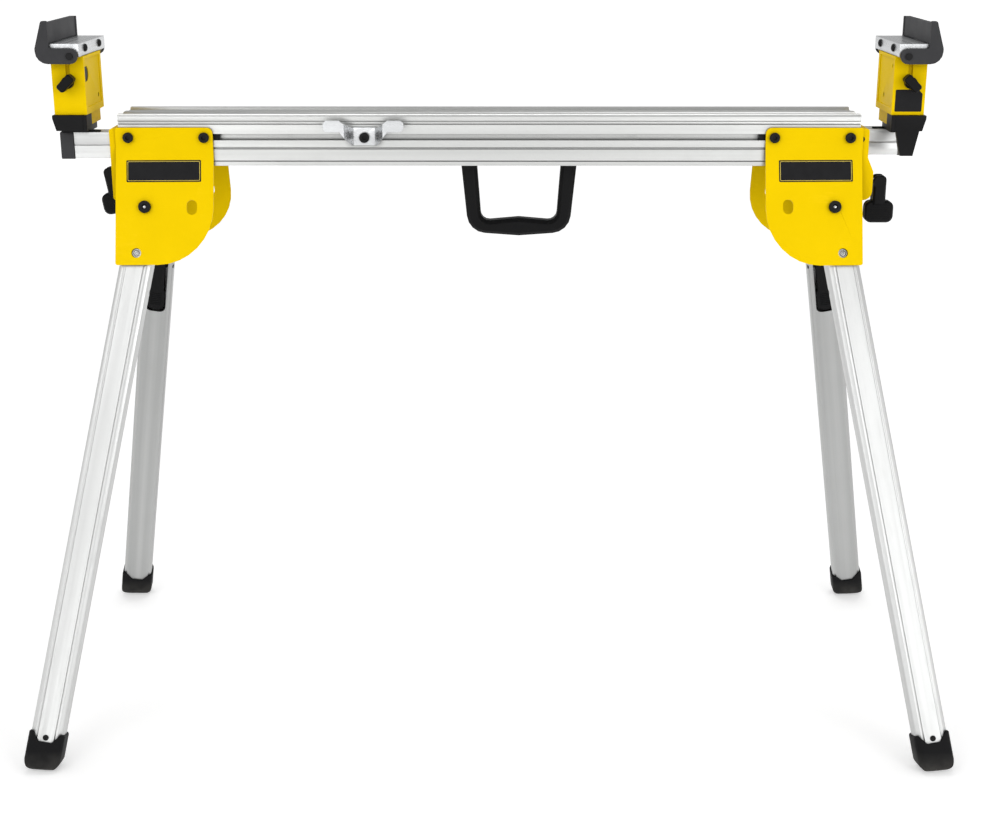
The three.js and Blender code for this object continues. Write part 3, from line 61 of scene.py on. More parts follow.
MM = 0.001
ENDS = {"left": -1, "right": 1}  # each end's side of the stand, along X
ROWS = ("front", "rear")
UP = (0, 0, 1)
FORWARD = (0, -1, 0)  # out of the stand's front

slot_of = {part["node"]: part["material_slot"] for part in frame["record"]["subparts"]}


# Camera, fitted to the photograph


PHOTO_WIDTH = 999
FOCAL_LENGTH = 1625.561  # in the photograph's pixels
SENSOR_WIDTH = 36.0
CAMERA_PLACE = (0.01835, -2.24817, 1.11359)
CAMERA_DOWN = 0.3001  # radians below level
CAMERA_LEFT = 0.0020  # radians


def make_camera():
    data = bpy.data.cameras.new("camera")
    data.sensor_fit = "HORIZONTAL"
    data.sensor_width = SENSOR_WIDTH
    data.lens = FOCAL_LENGTH / PHOTO_WIDTH * SENSOR_WIDTH
    data.clip_end = 100
    camera = bpy.data.objects.new("camera", data)
    camera.location = CAMERA_PLACE
    camera.rotation_euler = (math.pi / 2 - CAMERA_DOWN, 0, CAMERA_LEFT)
    bpy.context.scene.collection.objects.link(camera)
    bpy.context.scene.camera = camera


make_camera()


# Materials


def ramp(tree, value, start, end, low, high, interpolation="LINEAR"):
    """A value that runs from start to end, brought to the range from low to high."""
    node = tree.nodes.new("ShaderNodeMapRange")
    node.interpolation_type = interpolation
    limits = {"From Min": start, "From Max": end, "To Min": low, "To Max": high}
    for name, limit in limits.items():
        node.inputs[name].default_value = limit
    tree.links.new(value, node.inputs["Value"])
    return node.outputs["Result"]


def toned(tone, factor, lift=0.0):
    """The tone made darker or lighter."""
    return tuple(channel * factor + lift for channel in tone)


class Finish:
    """A material and short ways to add nodes to it."""

    def __init__(self, name):
        self.material = bpy.data.materials.new(name)
        self.material.use_nodes = True
        self.tree = self.material.node_tree
        self.shader = self.tree.nodes["Principled BSDF"]
        coordinates = self.tree.nodes.new("ShaderNodeTexCoord")
        self.place = coordinates.outputs["Object"]

    def set(self, **values):
        for name, value in values.items():
            self.shader.inputs[name.replace("_", " ")].default_value = value

    def node(self, kind, **values):
        node = self.tree.nodes.new(kind)
        for name, value in values.items():
            setattr(node, name, value)
        return node

    def link(self, output, target):
        self.tree.links.new(output, target)

    def drive(self, socket, output):
        """The output goes to the shader's socket of that name."""
        self.link(output, self.shader.inputs[socket])

    def moved(self, scale, turn=(0, 0, 0)):
        """The place on the piece, turned and then scaled, in two steps for that order."""
        rotated = self.node("ShaderNodeMapping", vector_type="POINT")
        rotated.inputs["Rotation"].default_value = turn
        self.link(self.place, rotated.inputs["Vector"])
        scaled = self.node("ShaderNodeMapping", vector_type="POINT")
        scaled.inputs["Scale"].default_value = scale
        self.link(rotated.outputs["Vector"], scaled.inputs["Vector"])
        return scaled.outputs["Vector"]

    def height(self):
        """How far above the floor the place is when the stand is at rest."""
        separate = self.node("ShaderNodeSeparateXYZ")
        self.link(self.place, separate.inputs["Vector"])
        return separate.outputs["Z"]

    def noise(self, vector, scale=1.0, detail=3.0):
        noise = self.node("ShaderNodeTexNoise")
        noise.inputs["Scale"].default_value = scale
        noise.inputs["Detail"].default_value = detail
        noise.inputs["Roughness"].default_value = 0.55
        self.link(vector, noise.inputs["Vector"])
        return noise.outputs["Fac"]

    def spread(self, value, low, high, start=0.3, end=0.7):
        """A texture's value brought to the range from low to high."""
        return ramp(self.tree, value, start, end, low, high)

    def blend(self, factor, first, second):
        mix = self.node("ShaderNodeMix", data_type="RGBA")
        for socket, colour in (("A", first), ("B", second)):
            target = [s for s in mix.inputs if s.name == socket and s.type == "RGBA"][0]
            if isinstance(colour, tuple):
                target.default_value = (*colour, 1)
            else:
                self.link(colour, target)
        self.link(factor, mix.inputs["Factor"])
        return [s for s in mix.outputs if s.type == "RGBA"][0]

    def combined(self, operation, first, second):
        node = self.node("ShaderNodeMath", operation=operation)
        self.link(first, node.inputs[0])
        self.link(second, node.inputs[1])
        return node.outputs[0]

    def times(self, first, second):
        return self.combined("MULTIPLY", first, second)

    def plus(self, first, second):
        return self.combined("ADD", first, second)

    def bump(self, *heights):
        """Adds relief, from (height, strength, distance) triples, coarse to fine."""
        normal = None
        for height, strength, distance in heights:
            bump = self.node("ShaderNodeBump")
            bump.inputs["Strength"].default_value = strength
            bump.inputs["Distance"].default_value = distance
            self.link(height, bump.inputs["Height"])
            if normal is not None:
                self.link(normal, bump.inputs["Normal"])
            normal = bump.outputs["Normal"]
        self.drive("Normal", normal)

    def hollows(self, reach, low=0.35, high=0.95):
        """0 deep in grooves and corners, 1 on open faces."""
        open_share = self.node("ShaderNodeAmbientOcclusion", samples=8)
        open_share.inputs["Distance"].default_value = reach
        return self.spread(open_share.outputs["AO"], 0.0, 1.0, low, high)

    def edges(self, low, high):
        """Where the surface turns outward: 1 along outward edges, 0 elsewhere."""
        geometry = self.node("ShaderNodeNewGeometry")
        return self.spread(geometry.outputs["Pointiness"], 0.0, 1.0, low, high)


def extruded_metal(name, turn, tone, roughness=0.34, groove=0.009):
    """Anodised extrusion: fine die lines along the local X that turn gives, and painted shade in
    its grooves.
    """
    finish = Finish(name)
    finish.set(Metallic=0.86)
    lines = finish.noise(finish.moved((4, 420, 420), turn), detail=2.0)
    broad = finish.noise(finish.moved((0.7, 55, 55), turn))
    cloud = finish.noise(finish.place, scale=9.0, detail=4.0)
    marks = finish.noise(finish.moved((30, 900, 30), turn), detail=1.0)
    dark = toned(tone, 0.86)
    light = toned(tone, 1.06)
    painted_crevice_shade = toned(tone, 0.30)
    shade = finish.blend(finish.spread(broad, 0.0, 1.0), dark, light)
    worn = finish.blend(finish.spread(cloud, 0.0, 0.35, start=0.45, end=0.75), shade, dark)
    # Painted shade: the colour goes dark in grooves and corners, within the groove reach.
    finish.drive("Base Color", finish.blend(finish.hollows(groove), painted_crevice_shade, worn))
    finish.drive("Roughness", finish.plus(
        finish.spread(lines, roughness - 0.05, roughness + 0.07),
        finish.spread(marks, 0.0, 0.08, start=0.6, end=0.75),
    ))
    finish.bump((broad, 0.05, 0.0002), (lines, 0.12, 0.00005))
    return finish.material


def powder_coat(name, tone, roughness=0.42):
    """Powder coat: faint orange peel, painted shade in its hollows and slightly worn edges."""
    finish = Finish(name)
    finish.set(Specular_IOR_Level=0.02)
    peel = finish.noise(finish.place, scale=900.0, detail=2.0)
    cloud = finish.noise(finish.place, scale=14.0, detail=5.0)
    scuff = finish.noise(finish.moved((60, 60, 300)), detail=4.0)
    deep = toned(tone, 0.95)
    # Painted shade: this darker tone goes into hollows and near other parts, within 12 cm.
    dust_and_shade = toned(tone, 0.62)
    rubbed = toned(tone, 1.05, lift=0.01)
    broad = finish.blend(finish.spread(cloud, 0.0, 1.0), tone, deep)
    shade = finish.blend(finish.hollows(reach=0.12, low=0.1, high=1.0), dust_and_shade, broad)
    wear = finish.times(
        finish.edges(low=0.53, high=0.62),
        finish.spread(scuff, 0.0, 0.5, start=0.5, end=0.7),
    )
    finish.drive("Base Color", finish.blend(wear, shade, rubbed))
    finish.drive("Roughness", finish.plus(
        finish.spread(cloud, roughness - 0.04, roughness + 0.05),
        finish.spread(scuff, 0.0, 0.1, start=0.62, end=0.75),
    ))
    finish.bump((cloud, 0.03, 0.001), (peel, 0.10, 0.00008))
    return finish.material


def moulded_plastic(name, tone, roughness=0.42, grain=1600.0, shine=0.09):
    """Moulded plastic: spark-etched grain, and a painted highlight along its outward edges."""
    finish = Finish(name)
    finish.set(Specular_IOR_Level=shine)
    fine = finish.noise(finish.place, scale=grain)
    cloud = finish.noise(finish.place, scale=25.0, detail=4.0)
    # Painted highlight: the colour is lighter along every outward edge.
    edge = finish.spread(finish.edges(low=0.51, high=0.58), 0.0, 0.55, start=0.0, end=1.0)
    shade = finish.blend(finish.spread(cloud, 0.0, 1.0), tone, toned(tone, 1.35))
    finish.drive("Base Color", finish.blend(edge, shade, toned(tone, 1.7, lift=0.006)))
    finish.drive("Roughness", finish.spread(cloud, roughness - 0.06, roughness + 0.08))
    finish.bump((fine, 0.18, 0.00006))
    return finish.material


def turned_steel(name, tone, roughness=0.24):
    """Bright plated steel with fine turning lines, slight mottling and painted shade in its
    grooves.
    """
    finish = Finish(name)
    finish.set(Metallic=0.95)
    cloud = finish.noise(finish.place, scale=120.0, detail=4.0)
    lines = finish.noise(finish.moved((2500, 2500, 2500)), detail=1.0)
    shade = finish.blend(finish.spread(cloud, 0.0, 1.0), tone, toned(tone, 0.8))
    # Painted shade: the colour goes dark in grooves and corners, within 2.5 mm.
    open_faces = finish.hollows(reach=0.0025, low=0.45, high=0.9)
    finish.drive("Base Color", finish.blend(open_faces, toned(tone, 0.12), shade))
    finish.drive("Roughness", finish.spread(cloud, roughness - 0.05, roughness + 0.1))
    finish.bump((lines, 0.08, 0.00003))
    return finish.material


DUST_TONE = (0.12, 0.115, 0.105)
DUST_TOP = 0.03  # above the floor


def dull_rubber(name, tone):
    """Moulded rubber, a little dusty towards the floor."""
    finish = Finish(name)
    finish.set(Specular_IOR_Level=0.12)
    fine = finish.noise(finish.place, scale=1100.0)
    cloud = finish.noise(finish.place, scale=40.0, detail=5.0)
    low = finish.spread(finish.height(), 0.0, 1.0, start=DUST_TOP, end=0.0)
    dust_and_shade = finish.times(low, finish.spread(cloud, 0.1, 0.6))
    shade = finish.blend(finish.spread(cloud, 0.0, 1.0), tone, toned(tone, 1.5))
    finish.drive("Base Color", finish.blend(dust_and_shade, shade, DUST_TONE))
    finish.drive("Roughness", finish.spread(cloud, 0.5, 0.68))
    finish.bump((cloud, 0.08, 0.0006), (fine, 0.2, 0.00007))
    return finish.material


def printed_label(name, tone):
    """A smooth printed film, with a little dust and a few rubbed spots."""
    finish = Finish(name)
    finish.set(Specular_IOR_Level=0.1)
    cloud = finish.noise(finish.place, scale=60.0, detail=4.0)
    spots = finish.noise(finish.moved((400, 60, 400)))
    dusty = toned(tone, 1.3, lift=0.002)
    finish.drive("Base Color", finish.blend(finish.spread(cloud, 0.0, 1.0), tone, dusty))
    finish.drive("Roughness", finish.plus(
        finish.spread(cloud, 0.44, 0.56),
        finish.spread(spots, 0.0, 0.12, start=0.6, end=0.75),
    ))
    finish.bump((cloud, 0.05, 0.0003), (spots, 0.04, 0.00005))
    return finish.material


LEG_LEAN = math.radians(10.3)  # outward, along the beam
LEG_SPLAY = math.radians(18.65)  # away from the beam, to the front or rear
LEG_SKEW = math.radians(2)  # of the fold plane, about the leg


def leg_axes(row, end):
    """The leg's own directions: across it, from the plate inwards, and up along it."""
    rear = row == "rear"
    side = -ENDS[end] if rear else ENDS[end]
    down = Vector((
        side * math.sin(LEG_LEAN),
        -math.cos(LEG_LEAN) * math.sin(LEG_SPLAY),
        -math.cos(LEG_LEAN) * math.cos(LEG_SPLAY),
    ))
    outward = Vector((0, -math.cos(LEG_SPLAY), math.sin(LEG_SPLAY)))
    outward = Matrix.Rotation(-LEG_SKEW, 3, down) @ outward
    across = outward.cross(down)
    axes = Matrix((across, -outward, -down)).transposed()
    if rear:
        axes = Matrix.Rotation(math.pi, 3, "Z") @ axes
    return axes


def grain_along(direction):
    """The mapping rotation that brings a direction onto the X axis."""
    turn = direction.rotation_difference(Vector((1, 0, 0)))
    return tuple(turn.to_euler())


ALONG_BEAM = (0, 0, 0)
ACROSS_BEAM = grain_along(Vector((0, 1, 0)))
BEAM_SILVER = (0.58, 0.585, 0.575)
ARM_SILVER = (0.60, 0.605, 0.60)
TRAY_SILVER = (0.58, 0.59, 0.60)
BRIGHT_SILVER = (0.66, 0.67, 0.68)
# The four legs are one extrusion. The rear tone is darker to match the photograph's light.
LEG_SILVER = {"front": (0.62, 0.625, 0.62), "rear": (0.48, 0.485, 0.48)}
STEEL = (0.52, 0.52, 0.51)
YELLOW = (0.94, 0.64, 0.0004)
BLACK = (0.004, 0.004, 0.0043)
GREY = (0.034, 0.034, 0.036)
RUBBER_BLACK = (0.004, 0.004, 0.0045)
SCREW_BLACK = (0.005, 0.005, 0.0054)
LABEL_BLACK = (0.010, 0.010, 0.011)
LABEL_YELLOW = (0.78, 0.60, 0.10)

materials = {
    "beam_aluminium": extruded_metal("beam_aluminium", ALONG_BEAM, BEAM_SILVER),
    "tray_metal": extruded_metal("tray_metal", ACROSS_BEAM, TRAY_SILVER, roughness=0.28),
    "bright_strip": extruded_metal(
        "bright_strip", ALONG_BEAM, BRIGHT_SILVER, roughness=0.25, groove=0.003
    ),
    "yellow_paint": powder_coat("yellow_paint", YELLOW),
    "black_plastic": moulded_plastic("black_plastic", BLACK),
    "grey_plastic": moulded_plastic("grey_plastic", GREY, roughness=0.5),
    "black_screw": moulded_plastic(
        "black_screw", SCREW_BLACK, roughness=0.4, grain=2500.0, shine=0.14
    ),
    "foot_rubber": dull_rubber("foot_rubber", RUBBER_BLACK),
    "plain_steel": turned_steel("plain_steel", STEEL),
    "dark_label": printed_label("dark_label", LABEL_BLACK),
    "label_line": printed_label("label_line", LABEL_YELLOW),
}
arm_metal = extruded_metal("arm_aluminium", ALONG_BEAM, ARM_SILVER, roughness=0.36, groove=0.006)
for end in ENDS:
    materials[f"{end}_arm"] = arm_metal
for row in ROWS:
    for end in ENDS:
        materials[f"{row}_{end}_leg"] = extruded_metal(
            f"leg_aluminium_{row}_{end}", grain_along(leg_axes(row, end).col[2]),
            LEG_SILVER[row], roughness=0.38, groove=0.006
        )


def material_for(node):
    """The node's own material if it has one, or else its slot's."""
    return materials.get(node) or materials[slot_of[node]]


# Pieces


SMOOTH_LIMIT = math.radians(33)  # sharper edges stay edges, and are the ones that are rounded
FLAT_LIMIT = math.radians(0.6)  # faces that meet flatter than this become one face
MERGE_DISTANCE = 0.001 * MM


def add_object(name, mesh, material, body):
    piece = bpy.data.objects.new(name, mesh)
    bpy.context.scene.collection.objects.link(piece)
    mesh.materials.clear()
    mesh.materials.append(material)
    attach(piece, body)
    return piece


def add_bevel(piece, width):
    bevel = piece.modifiers.new("rounded_edges", "BEVEL")
    bevel.width = width
    bevel.segments = 2
    bevel.limit_method = "ANGLE"
    bevel.angle_limit = SMOOTH_LIMIT
    bevel.harden_normals = True
    bevel.use_clamp_overlap = True


def smooth(mesh):
    mesh.shade_smooth()
    mesh.set_sharp_from_angle(angle=SMOOTH_LIMIT)


# The rounding of each piece's edges, in millimetres. The longest name that fits counts.
EDGE_WIDTHS = {
    "beam": 0.35,
    "handle": 1.6,
    "cleat": 0.5,
    "_plate": 0.5,
    "_end_cap": 1.2,
    "_leg": 0.4,
    "_foot": 1.8,
    "_lock_lever": 0.8,
    "_lock_pin": 0.12,
    "_pivot_bolt": 0.5,
    "_clamp_bar": 0.5,
    "_screw": 0.4,
    "_arm": 0.6,
    "_arm_cap": 1.2,
    "_base": 1.0,
    "_post": 0.7,
    "_sleeve": 1.0,
    "_tray": 0.7,
    "_stop": 1.2,
    "_stop_rod": 0.5,
    "_knob": 1.0,
    "_clamp_lever": 1.0,
    "_clamp_bolt": 0.4,
    "_clamp_shoe": 0.5,
}


def edge_width(node):
    fits = [key for key in EDGE_WIDTHS if key in node]
    return EDGE_WIDTHS[max(fits, key=len)] * MM


# In millimetres: how far each step of a lock pin's end goes in from the edge, and its rise.
PIN_END_STEPS = ((1.3, 0), (0.3, -0.9), (0.8, 0), (0.3, 0.9), (1.2, 0), (0.25, -0.9))
FENCE_TOP = 966 * MM
FENCE_REAR = 75 * MM
SOLE_RADIUS = 10.5 * MM
SOLE_HALF_WIDTH = 20 * MM
SOLE_HALF_DEPTH = 14 * MM
SOLE_STEPS = 6
SOLE_FLATNESS = 0.1 * MM
SAME_WAY = 0.99  # the least cosine between a face and the way that it should look


def grooved_pin(shape, row, end):
    """A ring and a small dimple sunk into the end of a lock pin, in the plate's hole."""
    outward = -leg_axes(row, end).col[1]
    ends = [face for face in shape.faces if face.normal.dot(outward) > SAME_WAY]
    face = max(ends, key=lambda flat: flat.calc_center_median().dot(outward))
    for inset, rise in PIN_END_STEPS:
        bmesh.ops.inset_individual(
            shape, faces=[face], thickness=inset * MM, depth=rise * MM, use_even_offset=True
        )


def level_fence(shape):
    """The stop's rear arm stays below the top of its fence."""
    for vertex in shape.verts:
        if vertex.co.y > FENCE_REAR and vertex.co.z > FENCE_TOP:
            vertex.co.z = FENCE_TOP


def rounded_sole(shape):
    """The foot's lower edge rounded off, as it is on the moulded foot."""
    for step in range(1, SOLE_STEPS + 1):
        height = SOLE_RADIUS * (1 - math.cos(math.pi / 2 * step / SOLE_STEPS))
        everything = [*shape.verts, *shape.edges, *shape.faces]
        bmesh.ops.bisect_plane(shape, geom=everything, plane_co=(0, 0, height), plane_no=UP)
    sole = [vertex for vertex in shape.verts if vertex.co.z < SOLE_FLATNESS]
    middle = sum((vertex.co for vertex in sole), Vector()) / len(sole)
    for vertex in shape.verts:
        rise = vertex.co.z / SOLE_RADIUS
        if rise < 1:
            inset = SOLE_RADIUS * (1 - math.sqrt(1 - (1 - rise) ** 2))
            vertex.co.x += (middle.x - vertex.co.x) * inset / SOLE_HALF_WIDTH
            vertex.co.y += (middle.y - vertex.co.y) * inset / SOLE_HALF_DEPTH


def refine(shape, node):
    if node.endswith("_lock_pin"):
        row, end = node.split("_")[:2]
        grooved_pin(shape, row, end)
    elif node.endswith("_stop"):
        level_fence(shape)
    elif node.endswith("_foot"):
        rounded_sole(shape)


def rounded_node(node):
    """The CAD node with its edges rounded as the real piece's are."""
    source = frame["nodes"][node]
    mesh = source.data.copy()
    mesh.name = f"{node}_rounded"
    shape = bmesh.new()
    shape.from_mesh(mesh)
    bmesh.ops.remove_doubles(shape, verts=shape.verts, dist=MERGE_DISTANCE)
    bmesh.ops.dissolve_limit(
        shape, angle_limit=FLAT_LIMIT, verts=shape.verts, edges=shape.edges
    )
    refine(shape, node)
    shape.to_mesh(mesh)
    shape.free()
    smooth(mesh)
    piece = add_object(
        f"{node}_rounded", mesh, material_for(node), source["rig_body"]
    )
    add_bevel(piece, edge_width(node))
    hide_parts(node)


for node in frame["nodes"]:
    rounded_node(node)


# Small pieces that the CAD frame leaves out. Sizes from here to the studio are in millimetres.


DETAIL_MERGE_DISTANCE = 0.0001
CORNER_STEPS = 6


def facing(place, outward):
    """A frame at place whose Z looks outward and whose Y is as near to up as it can be."""
    z_axis = Vector(outward).normalized()
    x_axis = Vector(UP).cross(z_axis).normalized()
    y_axis = z_axis.cross(x_axis)
    turn = Matrix((x_axis, y_axis, z_axis)).transposed().to_4x4()
    return Matrix.Translation(Vector(place)) @ turn


def detail(name, shape, place, material, body, slot, bevel=0.0):
    """A bmesh in millimetres becomes a piece that rides on a body."""
    bmesh.ops.remove_doubles(shape, verts=shape.verts, dist=DETAIL_MERGE_DISTANCE)
    bmesh.ops.recalc_face_normals(shape, faces=shape.faces)
    mesh = bpy.data.meshes.new(name)
    shape.to_mesh(mesh)
    shape.free()
    mesh.transform(Matrix.Scale(MM, 4) @ place)
    smooth(mesh)
    piece = add_object(name, mesh, materials[material], body)
    if bevel > 0:
        add_bevel(piece, bevel * MM)


def arc(radius, start, sweep, steps):
    """Points round the origin, from the start angle through the sweep."""
    turns = [start + sweep * step / steps for step in range(steps + 1)]
    return [(radius * math.cos(turn), radius * math.sin(turn)) for turn in turns]


def circle(radius, sides):
    return arc(radius, start=0, sweep=2 * math.pi, steps=sides)[:-1]


def turned(profile, sides=40):
    """A body turned about Z, from (radius, height) points that go round its section."""
    shape = bmesh.new()
    rings = []
    for radius, height in profile:
        points = circle(radius, sides) if radius > 0 else [(0, 0)]
        rings.append([shape.verts.new((x, y, height)) for x, y in points])
    for low, high in zip(rings, rings[1:]):
        for step in range(sides):
            after = (step + 1) % sides
            corners = [low[step % len(low)], low[after % len(low)],
                       high[after % len(high)], high[step % len(high)]]
            corners = list(dict.fromkeys(corners))
            if len(corners) > 2:
                shape.faces.new(corners)
    return shape


def sheet(outline, thickness):
    """A flat sheet on the XY plane, with its back at zero height."""
    shape = bmesh.new()
    low = [shape.verts.new((x, y, 0)) for x, y in outline]
    high = [shape.verts.new((x, y, thickness)) for x, y in outline]
    shape.faces.new(low)
    shape.faces.new(high)
    for step in range(len(outline)):
        after = (step + 1) % len(outline)
        shape.faces.new((low[step], low[after], high[after], high[step]))
    return shape


def band(outer, inner, low, high):
    """The sheet between two outlines that have the same number of points."""
    shape = bmesh.new()
    rings = [
        [shape.verts.new((x, y, height)) for x, y in outline]
        for outline, height in ((outer, low), (outer, high), (inner, high), (inner, low))
    ]
    count = len(outer)
    for here, there in zip(rings, rings[1:] + rings[:1]):
        for step in range(count):
            after = (step + 1) % count
            shape.faces.new((here[step], here[after], there[after], there[step]))
    return shape


def round_corners(corners, radius):
    """An outline through the corners, each rounded to the radius."""
    points = []
    count = len(corners)
    for index, corner in enumerate(corners):
        here = Vector(corner)
        back = (Vector(corners[index - 1]) - here).normalized()
        ahead = (Vector(corners[(index + 1) % count]) - here).normalized()
        half = back.angle(ahead) / 2
        centre = here + (back + ahead).normalized() * (radius / math.sin(half))
        start = here + back * (radius / math.tan(half)) - centre
        sweep = start.angle_signed(here + ahead * (radius / math.tan(half)) - centre)
        for step in range(CORNER_STEPS + 1):
            spoke = start.copy()
            spoke.rotate(Matrix.Rotation(-sweep * step / CORNER_STEPS, 2))
            points.append(tuple(centre + spoke))
    return points


def oblong(width, height, radius):
    x, y = width / 2, height / 2
    return round_corners([(-x, -y), (x, -y), (x, y), (-x, y)], radius)


LEG_PIVOT = (465, 55.99, 718.16)  # distances from the stand's middle planes and the floor
PLATE_FRONT = 19.5  # the plate's outer face, from the leg's middle plane
LABEL_WIDTH = 100
LABEL_HEIGHT = 29.5
LABEL_CORNER = 1.5
LABEL_THICKNESS = 0.25
LABEL_ROUNDING = 0.08
LABEL_LINE_INSET = 1.6
LABEL_LINE_WIDTH = 0.5
LABEL_LINE_RISE = 0.04
LABEL_INBOARD = 16  # the label's middle from the leg's pivot
LABEL_ABOVE = 52.6


def leg_place(row, end):
    """From the leg's own frame to the stand's."""
    x, y, z = LEG_PIVOT
    pivot = Vector((ENDS[end] * x, y if row == "rear" else -y, z))
    return Matrix.Translation(pivot) @ leg_axes(row, end).to_4x4()


def add_label(name, outline, place, body):
    detail(name, sheet(outline, LABEL_THICKNESS), place, "dark_label", body,
           "black_plastic", bevel=LABEL_ROUNDING)


def plate_label(end):
    """Bare, with one thin line inside its edge, and level although the leg leans."""
    leg = leg_place("front", end)
    middle = leg @ Vector((-ENDS[end] * LABEL_INBOARD, -PLATE_FRONT, LABEL_ABOVE))
    place = facing(middle, -leg.to_3x3().col[1])
    edge, outer, inner = [
        oblong(LABEL_WIDTH - 2 * inset, LABEL_HEIGHT - 2 * inset, LABEL_CORNER)
        for inset in (0, LABEL_LINE_INSET, LABEL_LINE_INSET + LABEL_LINE_WIDTH)
    ]
    name = f"{end}_plate_label"
    add_label(name, edge, place, "frame")
    line = band(outer, inner, LABEL_THICKNESS, LABEL_THICKNESS + LABEL_LINE_RISE)
    detail(f"{name}_line", line, place, "label_line", "frame", "yellow_paint")


HEAD_REACH = 559
HEAD_LABEL_PLACE = (HEAD_REACH, -57, 864.5)
HEAD_LABEL_CORNERS = [(-18, -14.5), (18, -14.5), (18, 9), (12.5, 14.5), (-18, 14.5)]


def head_label():
    """On the front of the right sleeve, its upper outboard corner cut off."""
    outline = round_corners(HEAD_LABEL_CORNERS, LABEL_CORNER)
    add_label("right_head_label", outline, facing(HEAD_LABEL_PLACE, FORWARD), "right_head")


SOCKET_SHARE = 0.36  # of the head's radius
# Shares of the radius, of the head and then of its socket, and shares of the rise.
DOME = ((0, 0), (1, 0), (1, 0.25), (0.9, 0.62), (0.66, 0.92))
SOCKET = ((1.15, 1), (1, 0.92), (0.95, 0.3), (0, 0.25))


def domed_screw(name, place, radius, rise, body):
    """A domed head with a small round socket."""
    socket = radius * SOCKET_SHARE
    profile = [(radius * out, rise * up) for out, up in DOME]
    profile += [(socket * out, rise * up) for out, up in SOCKET]
    detail(name, turned(profile, sides=36), place, "black_screw", body, "black_screw")


TRAY_HALF_WIDTH = 20
TRAY_SCREW_DEPTHS = (-37, 41)
TRAY_SCREW_HEIGHT = 932


def tray_screws(end):
    side = ENDS[end]
    for number, depth in enumerate(TRAY_SCREW_DEPTHS, 1):
        place = facing((side * (HEAD_REACH - TRAY_HALF_WIDTH), depth, TRAY_SCREW_HEIGHT),
                       (-side, 0, 0))
        domed_screw(f"{end}_tray_screw_{number}", place, radius=5.2, rise=3.2,
                    body=f"{end}_head")


CAP_SCREW_PLACE = (503, -46.8, 812)


def cap_screw():
    domed_screw("right_cap_screw", facing(CAP_SCREW_PLACE, FORWARD), radius=3.6, rise=1.2,
                body="frame")


LEG_OUTER_FACE = 14
RIVET_DROP = 725


def foot_rivet(row, end):
    """Holds the foot to the leg's outer face."""
    place = leg_place(row, end) @ facing((0, -LEG_OUTER_FACE, -RIVET_DROP), FORWARD)
    domed_screw(f"{row}_{end}_foot_rivet", place, radius=3.9, rise=1.5,
                body=f"{row}_{end}_leg")


CHEEK_CORNERS = (
    (537.3, -62), (542.5, -62), (542.5, -54.6), (540.4, -54.6), (540.4, -33), (537.3, -33)
)
CHEEK_BOTTOM = 824.5
CHEEK_HEIGHT = 20.7


def base_cheek(end):
    """The base's inboard cheek, which wraps the foot of the post."""
    outline = [(ENDS[end] * x, y) for x, y in CHEEK_CORNERS]
    place = Matrix.Translation((0, 0, CHEEK_BOTTOM))
    detail(f"{end}_base_cheek", sheet(outline, CHEEK_HEIGHT), place,
           "black_plastic", f"{end}_arm", "black_plastic", bevel=0.5)


# Painted shade: dark sheets fill the sleeve's openings, where the yellow post behind would show.
HOLE_SHADE_REACH = 540.2
HOLE_SHADE_THICKNESS = 0.9
HOLE_SHADE_RADIUS = 3.15
NOTCH_RADIUS = 9.95
NOTCH_TAIL = 12.95
HOLE = circle(HOLE_SHADE_RADIUS, sides=32)
NOTCH = [
    (-NOTCH_TAIL, -NOTCH_RADIUS),
    *arc(NOTCH_RADIUS, start=-math.pi / 2, sweep=math.pi, steps=20),
    (-NOTCH_TAIL, NOTCH_RADIUS),
]
HOLE_SHADES = (  # end, name, depth, height and outline
    ("left", "notch", -40, 898, NOTCH),
    ("left", "low", 18, 864.5, HOLE),
    ("right", "high", -41.5, 908.5, HOLE),
    ("right", "low", 0, 866.5, HOLE),
)


def sleeve_hole_shade(end, name, depth, height, outline):
    """Painted shade: a dark sheet that fills an opening of the sleeve's inboard wall."""
    side = ENDS[end]
    place = facing((side * HOLE_SHADE_REACH, depth, height), (-side, 0, 0))
    local = [(-side * y, z) for y, z in outline]
    detail(f"{end}_sleeve_hole_shade_{name}", sheet(local, HOLE_SHADE_THICKNESS), place,
           "black_plastic", f"{end}_head", "black_plastic")


CLAMP_REACH = 532.5
CLAMP_DEPTH = 33
CLAMP_HEIGHT = 754
WASHER_REACH = 521.2
WASHER_PROFILE = ((4.8, 0), (11, 0), (11, 0.5), (10.7, 0.7), (4.8, 0.7), (4.8, 0))


def clamp_washer(end):
    side = ENDS[end]
    place = facing((side * WASHER_REACH, -side * CLAMP_DEPTH, CLAMP_HEIGHT), (side, 0, 0))
    detail(f"{end}_clamp_washer", turned(WASHER_PROFILE), place,
           "plain_steel", "frame", "plain_steel")


STUD_FRONT = 21.9  # the socket's floor, from the leg's middle plane
STUD_PROFILE = ((0, 0), (3.2, 0), (3.2, 0.7), (2.4, 1.3), (1.2, 1.6), (0, 1.7))


def pivot_stud(row, end):
    """The bright end of the bolt at the bottom of its socket."""
    place = leg_place(row, end) @ facing((0, -STUD_FRONT, 0), FORWARD)
    detail(f"{row}_{end}_pivot_stud", turned(STUD_PROFILE, sides=24), place,
           "plain_steel", "frame", "plain_steel")


RIB_WIDTH = 1.3
RIB_CORNER = 0.6
RIB_THICKNESS = 0.7
RIB_SINK = 0.1


